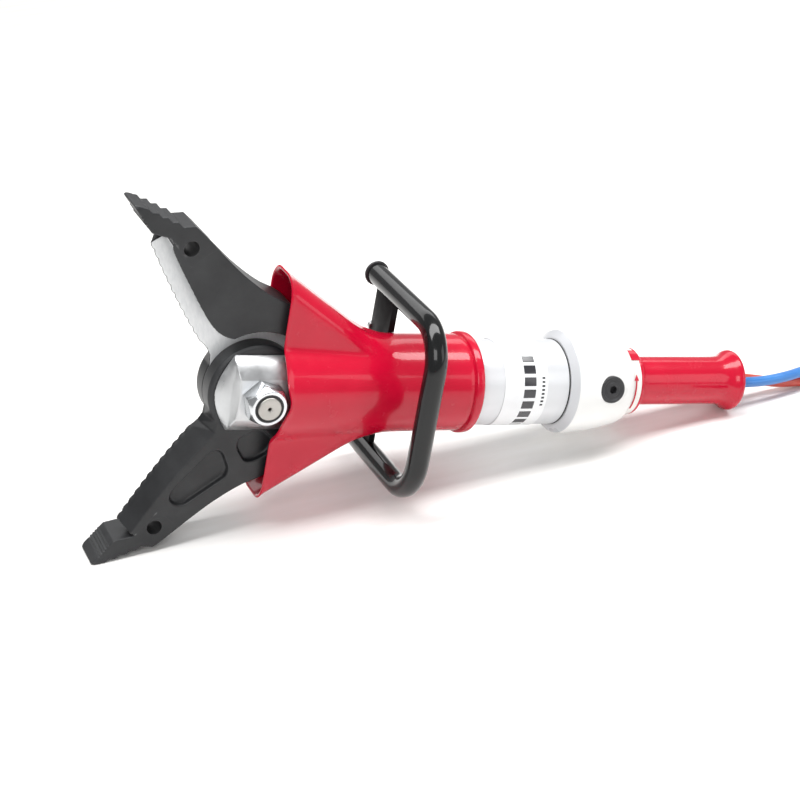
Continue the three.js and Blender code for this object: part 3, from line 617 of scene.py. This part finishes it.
def wing_height(x):
    return float(np.interp(x, [18, 60, 95, 108, 118, 128, 145], [112.7, 84.9, 61.6, 54, 49.6, 45.5, 38]))


def rounded_box_radius(angle, half_y, half_z, corner):
    """How far a rounded rectangle reaches from its centre, at an angle from -Y towards +Z."""
    c, s = abs(math.cos(angle)), abs(math.sin(angle))
    flat = min(half_y / max(c, 1e-9), half_z / max(s, 1e-9))
    cy, cz = half_y - corner, half_z - corner
    if flat * c > cy and flat * s > cz:
        b = c * cy + s * cz
        return b + math.sqrt(max(b * b - (cy * cy + cz * cz - corner * corner), 0))
    return flat


def guard_radius(x, angle, inset):
    circle = guard_circle(x) - inset
    half_z = wing_height(x) - inset
    corner = min(20 - inset * 0.6, 27.5 - inset, half_z - 0.5)
    wing = rounded_box_radius(angle, WING_HALF - inset, half_z, corner)
    blend = 5.0
    both = (circle + wing + math.sqrt((circle - wing) ** 2 + blend ** 2)) / 2
    fade = 1 - np.interp(x, [118, 150], [0, 1])
    fade = fade * fade * (3 - 2 * fade)
    return circle + (both - circle) * fade


REAR_LIP = [(211.8, 47.2), (212.6, 46.7), (213.2, 47.3), (213.5, 48.6), (214, 49.3), (215.2, 49.8),
            (219.6, 49.8), (221.2, 49.5), (222, 48.6), (221.9, 46.4), (221, 45.3)]


def guard_mesh():
    """The flared shell: a cylinder that opens into two wings, scalloped round the pivot."""
    segments, rows = 288, 64
    columns = []

    def station(i):
        return start + (GUARD_REAR - start) * (i / rows) ** 1.15

    for k in range(segments):
        angle = 2 * math.pi * k / segments
        c, s = math.cos(angle), math.sin(angle)
        near = guard_radius(20, angle, 0)
        scallop = math.exp(-(near * s / 14) ** 2) if abs(c) > 0.5 else 0
        start = 18 + 5 * scallop
        column = []
        for i in range(rows + 1):
            x = station(i)
            r = guard_radius(x, angle, 0) + 0.9 * math.exp(-((x - start) / 2.2) ** 2)
            column.append((x, -r * c, r * s))
        for x, r in REAR_LIP:
            column.append((x, -r * c, r * s))
        for i in range(rows, -1, -1):
            x = station(i)
            r = guard_radius(x, angle, WALL)
            column.append((x, -r * c, r * s))
        outer, inner = Vector(column[0]), Vector(column[-1])
        middle = (outer + inner) / 2
        for t in (0.25, 0.5, 0.75):
            reach = math.sin(math.pi * t) * 0.9
            p = inner.lerp(outer, t)
            column.append((middle.x - reach, p.y, p.z))
        columns.append(column)
    count = len(columns[0])
    points = [p for column in columns for p in column]
    faces = []
    for k in range(segments):
        n = (k + 1) % segments
        for i in range(count):
            j = (i + 1) % count
            faces.append([k * count + i, n * count + i, n * count + j, k * count + j])
    return mesh_of("guard_shell", points, faces, 60)


piece("guard_shell", levelled(guard_mesh(), PITCH), RED, "frame", Matrix.Translation(PIVOT), "guard_shroud")


# ---------------------------------------------------------------- cylinder and control body

barrel = ring("barrel_tube", [(128.3, 32), (128.3, 42.5), (318.4, 42.5), (318.4, 36), (316, 36), (316, 32)],
              0.4, 128)
piece("barrel_tube", barrel, BARREL, "frame", TOOL, "cylinder_barrel")
film = ring("label_film", [(247, 42.8), (247, 43.15), (294, 43.15), (294, 42.8)], 0.12, 128)
piece("label_film", film, FILM, "frame", TOOL, "label_band")
groove = ring("groove_seal", [(318.5, 35.8), (318.5, 42.6), (318.8, 43), (319.3, 43), (319.6, 42.6),
                              (319.6, 35.8)], 0.15, 128)
piece("groove_seal", groove, RUBBER, "frame", TOOL, "collar_seal_ring")

PLUG_X = 364
PLUG_TILT = Matrix.Rotation(math.radians(-14), 4, "X")
PLUG = Matrix.Translation((PLUG_X, 0, 0)) @ PLUG_TILT @ ALONG_Y


def control_body():
    """The turned body: a seat for the seal and the barrel, a front chamfer and a long taper."""
    profile = [(300, 6), (300, 31.7), (316.3, 31.7), (316.3, 35.5), (319.8, 35.5), (319.8, 44.4),
               (325.2, 51.2)]
    profile = rounded(profile, 0.5, False, 2)[:-1]
    outside = spline([(325.2, 51.4), (328, 52), (334, 51.9), (344, 51.1), (356, 49.9), (370, 47.7),
                      (386, 44.2), (392, 42), (395, 39.4), (395.5, 37)], 0.9)
    inside = [(395.5, 22.3), (384, 22.3), (384, 20), (350, 20), (350, 6)]
    return turned("control_shell", profile + outside + inside, 288, closed=True, sharp=30)


shell = combined(
    control_body(),
    turned("plug_seat", [(-70, 0), (-70, 13.9), (-46.6, 13.9), (-46.6, 0)], 64, place=PLUG),
    turned("plug_bore", [(-48, 0), (-48, 9.3), (-10, 9.3), (-10, 0)], 48, place=PLUG),
)
shell = modified(shell, ("WELD", {"merge_threshold": 0.00005}), sharp=30)
piece("control_shell", shell, BODY, "frame", TOOL, "control_body")


def plug_mesh():
    """Round plug with a raised rim, a ring groove and a hexagon socket."""
    profile = [(-24, 0), (-24, 9), (-46.9, 9), (-46.9, 13.5), (-49.6, 13.5), (-50.6, 12.7), (-50.6, 10.6),
               (-49.9, 10), (-49.9, 7.4), (-50.4, 6.9), (-50.4, 0)]
    body = turned("plug_body", rounded(profile, 0.35, False, 3), 96, place=PLUG)
    angles = [math.pi * k / 3 + 0.3 for k in range(6)]
    socket = plate("socket", [(4.3 * math.cos(a), 4.3 * math.sin(a)) for a in angles], -60, -45)
    socket.transform(Matrix.Translation((PLUG_X * MM, 0, 0)) @ PLUG_TILT)
    return modified(combined(body, socket), sharp=30)


piece("plug_cap", plug_mesh(), SOFT_BLACK, "frame", TOOL, "valve_plug")

collar = ring("collar_sleeve", [(395.8, 22.3), (395.8, 34.8), (406.8, 34.8), (406.8, 22.3)], 0.4, 128)
piece("collar_sleeve", collar, WHITE, "frame", TOOL, "handle_collar")


def mark(name, widths):
    """A raised mark bent round the collar: (angle, from x, to x) stations."""
    inner, outer = 35.05, 35.5
    sections = []
    for angle, x0, x1 in widths:
        c, s = -math.cos(math.radians(angle)), math.sin(math.radians(angle))
        sections.append([(x0, inner * c, inner * s), (x1, inner * c, inner * s),
                         (x1, outer * c, outer * s), (x0, outer * c, outer * s)])
    return lofted(name, sections)


arrow = [(a, 399.4, 400.8) for a in np.linspace(-28, 24, 27)] + [(24.2, 397.6, 402.6)]
arrow += [(24.2 + 9.8 * t, 397.6 + 2.5 * t, 402.6 - 2.3 * t) for t in (0.25, 0.5, 0.75, 1)]
piece("turn_arrow", mark("turn_arrow", arrow), RED, "frame", TOOL, "twist_mark_arrow")
band = [(a, 397.6, 406.6) for a in np.linspace(60, 84, 18)]
piece("turn_band", mark("turn_band", band), RED, "frame", TOOL, "twist_mark_band")

grip_profile = [(384.3, 15.3), (384.3, 17.2), (398, 17.2), (398, 22), (407.1, 22), (407.1, 34.4),
                (409.8, 34.4), (411.2, 33), (411.6, 27.4), (413.6, 25.6), (417.5, 24.9)]
grip_tail = [(420, 24.8), (460, 24.8), (506, 24.8), (514, 24.95), (520, 25.7), (525, 27.7), (528.5, 30),
             (531, 31.2), (533, 31.5), (535, 30.9), (536, 29.4)]
grip_mouth = [(535.6, 26.4), (531, 23.5), (523, 21), (523, 15.3)]
grip = turned("grip_shell", rounded(grip_profile, 0.5, False, 3) + spline(grip_tail, 1.5)
              + rounded(grip_mouth, 0.8, False, 3), 144, closed=True, sharp=50)
piece("grip_shell", grip, RED, "grip", TOOL, "twist_grip")


# ---------------------------------------------------------------- carrying handle

HANDLE_X, HANDLE_Z, HANDLE_R = 145, 84.3, 10.6
POST_BOLT_Z = 33


def swept(name, route, radius):
    """A round bar along a route in a plane of constant x, with softened ends."""
    segments, ends = 40, 0.8
    line = [Vector(p) for p in route]
    points, rings = [], []
    for i, p in enumerate(line):
        along = (line[min(i + 1, len(line) - 1)] - line[max(i - 1, 0)]).normalized()
        side = Vector((1, 0, 0))
        other = along.cross(side)
        stations = [(p, radius)]
        if i == 0:
            stations = [(p, 0), (p, radius - ends), (p + along * ends * 0.3, radius - ends * 0.3)]
        if i == len(line) - 1:
            stations = [(p - along * ends * 0.3, radius - ends * 0.3), (p, radius - ends), (p, 0)]
        for place, r in stations:
            if r == 0:
                rings.append([len(points)])
                points.append(tuple(place))
                continue
            rings.append(range(len(points), len(points) + segments))
            points += [tuple(place + side * r * math.cos(a) + other * r * math.sin(a))
                       for a in (2 * math.pi * k / segments for k in range(segments))]
    return mesh_of(name, points, bridged(zip(rings, rings[1:]), segments), 50)


def handle_route():
    """The loop handle's centre line, from the end of its top leg to the end of its bottom leg."""
    bend = 38
    y0, y1, z = -84.5, 71, HANDLE_Z
    route = [(y1, z), ((y1 + y0) / 2, z), (y0 + bend, z)]
    for k in range(1, 16):
        a = math.pi / 2 * k / 16
        route.append((y0 + bend - bend * math.sin(a), z - bend + bend * math.cos(a)))
    route += [(y0, z - bend), (y0, 0), (y0, bend - z)]
    for k in range(1, 16):
        a = math.pi / 2 * k / 16
        route.append((y0 + bend - bend * math.cos(a), bend - z - bend * math.sin(a)))
    route += [(y0 + bend, -z), ((y1 + y0) / 2, -z), (y1, -z)]
    return [(HANDLE_X, y, h) for y, h in route]


piece("handle_bar", swept("handle_bar", handle_route(), HANDLE_R), BLACK_GLOSS, "frame", TOOL,
      "carry_handle")

for side, s in (("top", 1), ("bottom", -1)):
    shift = Matrix.Translation((HANDLE_X, 0, s * HANDLE_Z)) @ ALONG_Y
    cap = [(71.3, 0), (71.3, 12), (71.8, 12.4), (73.4, 12.4), (74.8, 11.6), (75.8, 9.5), (76.2, 6), (76.2, 0)]
    mesh = turned("cap", rounded(cap, 0.5, False, 3), 64, place=shift)
    piece(f"handle_cap_{side}", mesh, SOFT_BLACK, "frame", TOOL, f"handle_end_cap_{side}")
    z0, z1 = sorted((s * 24, s * HANDLE_Z))
    post = combined(
        block("post", HANDLE_X - 3, HANDLE_X + 3, 19, 60, z0, z1),
        turned("drum", [(100, 0), (100, 47.8), (200, 47.8), (200, 0)], 96),
        rod_y("leg", -100, 100, HANDLE_R + 0.3, HANDLE_X, s * HANDLE_Z),
        rod_y("hole", 47, 70, 2.25, HANDLE_X, s * POST_BOLT_Z, 24),
    )
    post = modified(post, ("BEVEL", {"width": 0.0006, "segments": 2, "limit_method": "ANGLE",
                                     "angle_limit": math.radians(40)}))
    piece(f"handle_bar_post_{side}", post, DULL_BLACK, "frame", TOOL, f"handle_post_{side}")
    shift = Matrix.Translation((HANDLE_X, 0, s * POST_BOLT_Z)) @ ALONG_Y
    screw = [(47.5, 0), (47.5, 2), (60.3, 2), (60.3, 4.6), (64.6, 4.6), (65.5, 4), (65.6, 2.4), (63.4, 2),
             (63.4, 0)]
    mesh = turned("screw", rounded(screw, 0.3, False, 3), 40, place=shift)
    piece(f"handle_screw_{side}", mesh, SATIN, "frame", TOOL, f"handle_bolt_{side}")


# ---------------------------------------------------------------- pivot

def hexagon(flats, turn):
    radius = flats / 2 / math.cos(math.radians(30))
    angles = [math.radians(turn + 60 * k) for k in range(6)]
    return [(radius * math.cos(a), radius * math.sin(a)) for a in angles]


NUT_FLATS = 36
NUT_TURN = 43.75
BOLT_HOLE_R = 12.3


def nut_mesh():
    blank = plate("blank", hexagon(NUT_FLATS, NUT_TURN), -57, -38.3)
    cone = [(-57, 0), (-57, 16.2), (-56.6, 16.8), (-52.2, 19.2), (-47, 21.6), (-30, 22.5), (-30, 0)]
    chamfer = turned("chamfer", cone, 96, place=ALONG_Y)
    nut = combined(blank, chamfer, operation="INTERSECT")
    nut = combined(nut, rod_y("bore", -60, -30, BOLT_HOLE_R), rod_y("seat", -60, -54, 13.8, segments=64))
    return modified(nut, ("BEVEL", {"width": 0.00035, "segments": 2, "limit_method": "ANGLE",
                                    "angle_limit": math.radians(28)}), sharp=24)


def bolt_mesh():
    shank = [(-58.6, 2.6), (-58.6, 10.4), (-57.6, 11.3), (-54, 11.3), (-53.5, 12), (37, 12), (37, 0)]
    centre_drill = [(-46, 0), (-46, 1.3), (-57.4, 1.3), (-58.6, 2.4)]
    shaft = turned("shaft", centre_drill + rounded(shank, 0.4, False, 3), 72, place=ALONG_Y)
    head = combined(
        plate("head", hexagon(NUT_FLATS, NUT_TURN), 40.6, 50),
        turned("round", [(30, 0), (30, 22), (45, 21.6), (50, 17), (50, 0)], 72, place=ALONG_Y),
        operation="INTERSECT",
    )
    whole = combined(head, turned("neck", [(30, 0), (30, 12), (45, 12), (45, 0)], 72, place=ALONG_Y), shaft,
                     operation="UNION")
    return modified(whole, ("BEVEL", {"width": 0.0003, "segments": 2, "limit_method": "ANGLE",
                                      "angle_limit": math.radians(30)}), sharp=24)


piece("nut_body", nut_mesh(), ZINC, "frame", TOOL, "pivot_nut")
piece("bolt_body", bolt_mesh(), BOLT, "frame", TOOL, "pivot_bolt")
washer = ring("head_washer", [(38.2, 12.3), (38.2, 21), (40.4, 21), (40.4, 12.3)], 0.4, 72, place=ALONG_Y)
piece("head_washer", washer, SATIN, "frame", TOOL, "pivot_washer")
seal = ring("nut_seal", [(-57.6, 11.6), (-57.6, 13.5), (-54.3, 13.5), (-54.3, 11.6)], 0.6, 72, place=ALONG_Y)
piece("nut_seal", seal, RUBBER, "frame", TOOL, "nut_seal_ring")


def cheek(side):
    """One cheek of the fork: nosed at the slot, hollowed in front and set back at its outer face."""
    levels = np.linspace(-44, 44, 61)
    nose = [-26 - 15 * max(math.cos(math.pi * z / 76), 0) for z in levels]
    rim = [-22.5 - 5.5 * (z / 36) ** 2 for z in levels]
    hollow = [(a + b) / 2 + 4.5 * max(1 - (z / 40) ** 2, 0) for a, b, z in zip(nose, rim, levels)]
    skirt = [x + 2.5 for x in rim]
    sections = []
    for y, edge in ((20, nose), (29, hollow), (38, rim), (43.5, skirt)):
        sections.append([(70, side * y, -44)] + [(x, side * y, z) for x, z in zip(edge, levels)]
                        + [(70, side * y, 44)])
    return lofted("cheek", sections)


def fork_mesh():
    """The slotted fork that carries the pivot bolt, with its edges softened."""
    around = turned("round", [(-60, 0), (-60, 43), (128, 43), (128, 31.7), (148, 31.7), (148, 0)], 192)
    kept = combined(cheek(-1), cheek(1), block("rear", 60, 160, -60, 60, -60, 60), operation="UNION")
    body = combined(around, kept, operation="INTERSECT")
    body = combined(
        body,
        block("slot", -80, 116, -20, 20, -60, 60),
        block("seat_far", -80, 46, 38, 60, -60, 60),
        block("seat_near", -80, 46, -60, -38, -60, 60),
        rod_y("bore", -60, 60, BOLT_HOLE_R),
        turned("gland", [(100, 0), (100, 12.3), (160, 12.3), (160, 0)], 64),
        turned("seal", [(136, 0), (136, 16.3), (142, 16.3), (142, 0)], 64),
    )
    return modified(skin(body, 0.75, 2), ("DECIMATE", {"ratio": 0.35}), sharp=80)


piece("fork_body", fork_mesh(), SATIN, "frame", TOOL, "pivot_fork")


# ---------------------------------------------------------------- arms and tips

ARM_HALF = 19.5
HUB_R = 46


def polar(radius, degrees, x=0, z=0):
    return x + radius * math.cos(math.radians(degrees)), z + radius * math.sin(math.radians(degrees))


LUG = polar(44, 81.7)
BACK = [(-143.6, 42), (-135, 43.4), (-105, 49.5), (-76, 59), (-58, 68.5), (-47, 72), (-34, 72.5), (-15, 66),
        (-4, 60), (6.4, 57), (15, 53.5), (19.4, 46), (19.6, 40)]
TIP_HOLE = (-158.5, 22.3)


def blade_line(x):
    t = min(max((-64 - x) / 118, 0), 1)
    return -16 + 13.5 * t ** 1.6


def blade_edge(x):
    return blade_line(x) - 1.5 * abs(math.sin(math.pi * (x + 64) / 9.5))


def flank_edge(x):
    return -0.8 + 10 * min(max((-59 - x) / 123, 0), 1) ** 2.2


RIM = [(-174.5, 17), (-173.2, 12.8), (-170.5, 9.4), (-166.5, 7.8), (-152.6, 5.5), (-133.9, 3.2),
       (-106.2, 0.2), (-90, -0.9), (-80, -0.5), (-72, 1.2), (-66, 4), (-60.5, 8)]
RECESS = [(-158.6, 17), (-157.6, 14), (-155, 12), (-150, 10.9), (-140, 11), (-125, 12.6), (-106, 15),
          (-92, 16.8), (-80, 17.8), (-74, 18.1), (-67, 18.3), (-60.5, 18.3)]


def even(points, count):
    """The same curve through the points with a fixed number of steps."""
    line = np.array(spline(points, 0.5))
    along = np.concatenate([[0], np.cumsum(np.linalg.norm(np.diff(line, axis=0), axis=1))])
    wanted = np.linspace(0, along[-1], count)
    return [(np.interp(w, along, line[:, 0]), np.interp(w, along, line[:, 1])) for w in wanted]


def blade_half():
    """The half with the blade: a scalloped cutting edge, a long bevel and the hub disc."""
    xs = np.linspace(-177, -64, 228)
    back = spline(BACK, 1.5)[::-1]

    def section(y, edge, root, hub_radius):
        angles = np.radians(np.linspace(208, 360, 60))
        hub = [(hub_radius * math.cos(a), hub_radius * math.sin(a)) for a in angles]
        outline = [(x, edge(x)) for x in xs] + root + hub + [(42, 20), (30, 33), (26, 36)] + back
        return [(x, y, z) for x, z in outline + [(-144, 12.8), (-175.5, 12.8)]]

    def land(x):
        return blade_line(x) + 0.15 * (flank_edge(x) - blade_line(x))

    def shoulder(x):
        return flank_edge(x) - 0.12 * (flank_edge(x) - blade_line(x))

    return lofted("blade_half", [
        section(0.2, blade_edge, [(-56, -15), (-49, -16)], HUB_R),
        section(3.1, land, [(-56, -13), (-48.6, -15)], HUB_R),
        section(17, shoulder, [(-54.3, -3.2), (-46.4, -9)], HUB_R),
        section(ARM_HALF, flank_edge, [(-54, -1.5), (-44.5, -8)], 43.5),
    ])


def plain_half():
    """The half that the other arm's blade passes: recessed along the blade and round the hub."""
    back = spline(BACK, 1.5)[::-1]
    inner, outer = ([(x, y, z) for x, z in even(line, 90) + [(-50, 18.5)] + back]
                    for y, line in ((1.0, RECESS), (-ARM_HALF, RIM)))
    half = lofted("plain_half", [outer, inner])
    return combined(half, rod_y("clear", -30, 5, 59.5, segments=160))


def arm_mesh():
    """One arm, bored for its bush and its lug pin, slotted for the link and pocketed on its near face."""
    slot = [polar(15, 240, *LUG), polar(50, -42, *LUG), (66, 40), polar(44, 54, *LUG), polar(15, 130, *LUG)]
    pockets = [
        [(-70, 9), (-63.5, 14), (-63, 21), (-71, 37), (-79, 41), (-126, 29), (-131.5, 22), (-131, 13),
         (-122, 8)],
        [(-36, 25), (-43, 21), (-52, 26), (-58, 44), (-51, 51), (-37, 57), (-22, 54), (-22, 30)],
    ]
    cutters = [
        rod_y("bush", -30, 30, 15.3, segments=96),
        rod_y("pin", -30, 30, 5.3, *LUG),
        plate("slot", slot, 5.6, 14.4),
        rod_y("slot_end", 5.6, 14.4, 15.6, *LUG, segments=64),
    ]
    for outline in pockets:
        wide = np.array(rounded(outline, 6, True, 6))
        middle = wide.mean(axis=0)
        floor, slope = (middle + (wide - middle) * f for f in (0.84, 0.93))
        cutters.append(lofted("pocket", [[(x, y, z) for x, z in edge] for y, edge in
                                         ((14, floor), (15, slope), (25, wide + (wide - middle) * 0.06))]))
    return joined(combined(blade_half(), *cutters), plain_half())


NOSE = [(-222.4, 1.2), (-222.4, 2.9), (-220.2, 4.7), (-215.4, 8.2), (-213.4, 10.3), (-208.2, 10.9),
        (-205, 15.6), (-199.2, 15.9), (-196, 20.4), (-189.8, 21), (-186.8, 25.6), (-180.4, 26.4),
        (-174.3, 36.2), (-164, 38.6), (-154, 40.3), (-140, 42.7)]


def tip_mesh():
    """The spreading tip: a blunt rounded nose, five stepped teeth and four ridges on the inner flat."""
    outline = [(-140, 12), (-175.5, 12), (-176.6, 13), (-192, 0.9)]
    for x in (-199.6, -203, -206.4, -209.8):
        outline += [(x + 1.5, 0.8), (x, 0), (x - 0.2, 1.9)]
    bar = plate("tip", outline + [(-213, 0.8), (-222, 0.9)] + NOSE, -ARM_HALF, ARM_HALF)
    corners = [(-223, -ARM_HALF), (-100, -ARM_HALF), (-100, ARM_HALF), (-223, ARM_HALF)]
    plan = plate("plan", rounded(corners, 7, True, 8), -60, 60)
    plan.transform(Matrix.Rotation(math.pi / 2, 4, "X"))
    return combined(bar, plan, operation="INTERSECT")


def jaw_meshes():
    """The arm and its tip: one forged skin, parted along the seat between them."""
    whole = skin(joined(arm_mesh(), tip_mesh()), 0.7, 2)
    whole = modified(whole, ("DECIMATE", {"ratio": 0.4}), sharp=80)
    whole = combined(whole, rod_y("hole", -30, 30, 7.3, *TIP_HOLE, segments=64))
    seat = [(-144.1, 60), (-144.1, 12.95), (-176.1, 12.95), (-176.1, -40), (-240, -40), (-240, 60)]
    seat = plate("seat", seat, -30, 30)
    return (modified(combined(whole, seat), sharp=80),
            modified(combined(whole, seat, operation="INTERSECT"), sharp=80))


arm, tip = jaw_meshes()
for side, turn, half_turn in (("upper", JAW_OPEN + PITCH, Matrix()), ("lower", JAW_OPEN - PITCH, HALF_TURN)):
    place = Matrix.Translation(PIVOT) @ half_turn
    for part, mesh, finish in (("arm", arm, ARM), ("tip", tip, FORGED)):
        piece(f"{side}_{part}_forging", levelled(mesh, turn), finish, f"{side}_jaw", place, f"{side}_{part}")


# ---------------------------------------------------------------- finishes of the CAD parts that stay

FINISHES = {
    "rod_yoke": FORGED, "upper_link": FORGED, "lower_link": FORGED,
    "upper_arm_bush": BRONZE, "lower_arm_bush": BRONZE, "rotary_valve_sleeve": BRONZE,
    "rod_seal": RUBBER, "piston_seal": RUBBER, "hose_grommet": RUBBER,
    "piston": PISTON, "piston_nut": SATIN, "grip_core_tube": SATIN,
}
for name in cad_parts:
    node = bpy.data.objects.get(name)
    if node is None or node.hide_render:
        continue
    for index in range(len(node.material_slots)):
        node.material_slots[index].link = "OBJECT"
        node.material_slots[index].material = FINISHES.get(name, BRIGHT)


# ---------------------------------------------------------------- floor and light

def make_floor():
    """Pale ground with a faint grain."""
    mesh = bpy.data.meshes.new("ground")
    mesh.from_pydata([(-6, -4, 0), (6, -4, 0), (6, 6, 0), (-6, 6, 0)], [], [(0, 1, 2, 3)])
    s = Shader("pale_ground", (0.86, 0.855, 0.84), 0.6, 0.0, Specular_IOR_Level=0.25)
    grain = s.noise(9, 4, 0.6, (1, 6, 1))
    s.color(s.ramp(grain, [(0.35, (0.84, 0.83, 0.81)), (0.65, (0.88, 0.875, 0.865))]))
    mesh.materials.append(s.material)
    ground = bpy.data.objects.new("ground", mesh)
    bpy.context.collection.objects.link(ground)


def area_light(name, place, target, size, power, size_y=None):
    data = bpy.data.lights.new(name, "AREA")
    data.energy = power
    data.shape = "RECTANGLE"
    data.size = size
    data.size_y = size_y or size
    light = bpy.data.objects.new(name, data)
    bpy.context.collection.objects.link(light)
    light.location = place
    light.rotation_mode = "QUATERNION"
    light.rotation_quaternion = (Vector(target) - Vector(place)).to_track_quat("-Z", "Y")


make_floor()
world = bpy.data.worlds.new("studio")
world.use_nodes = True
world.node_tree.nodes["Background"].inputs[0].default_value = (1, 1, 1, 1)
world.node_tree.nodes["Background"].inputs[1].default_value = 0.35
bpy.context.scene.world = world
area_light("overhead", (0.15, -0.1, 1.9), (0.15, 0.0, 0.1), 3.4, 66, 0.7)
area_light("key", (-1.2, -1.9, 1.5), (-0.1, 0, 0.1), 1.4, 17, 0.9)
area_light("fill", (1.6, -1.4, 0.7), (0, 0, 0.1), 1.0, 5)
area_light("backdrop", (0.8, 3.4, 2.6), (0.8, 3.4, 0), 6.0, 90, 2.5)
bpy.context.scene.view_settings.view_transform = "Standard"
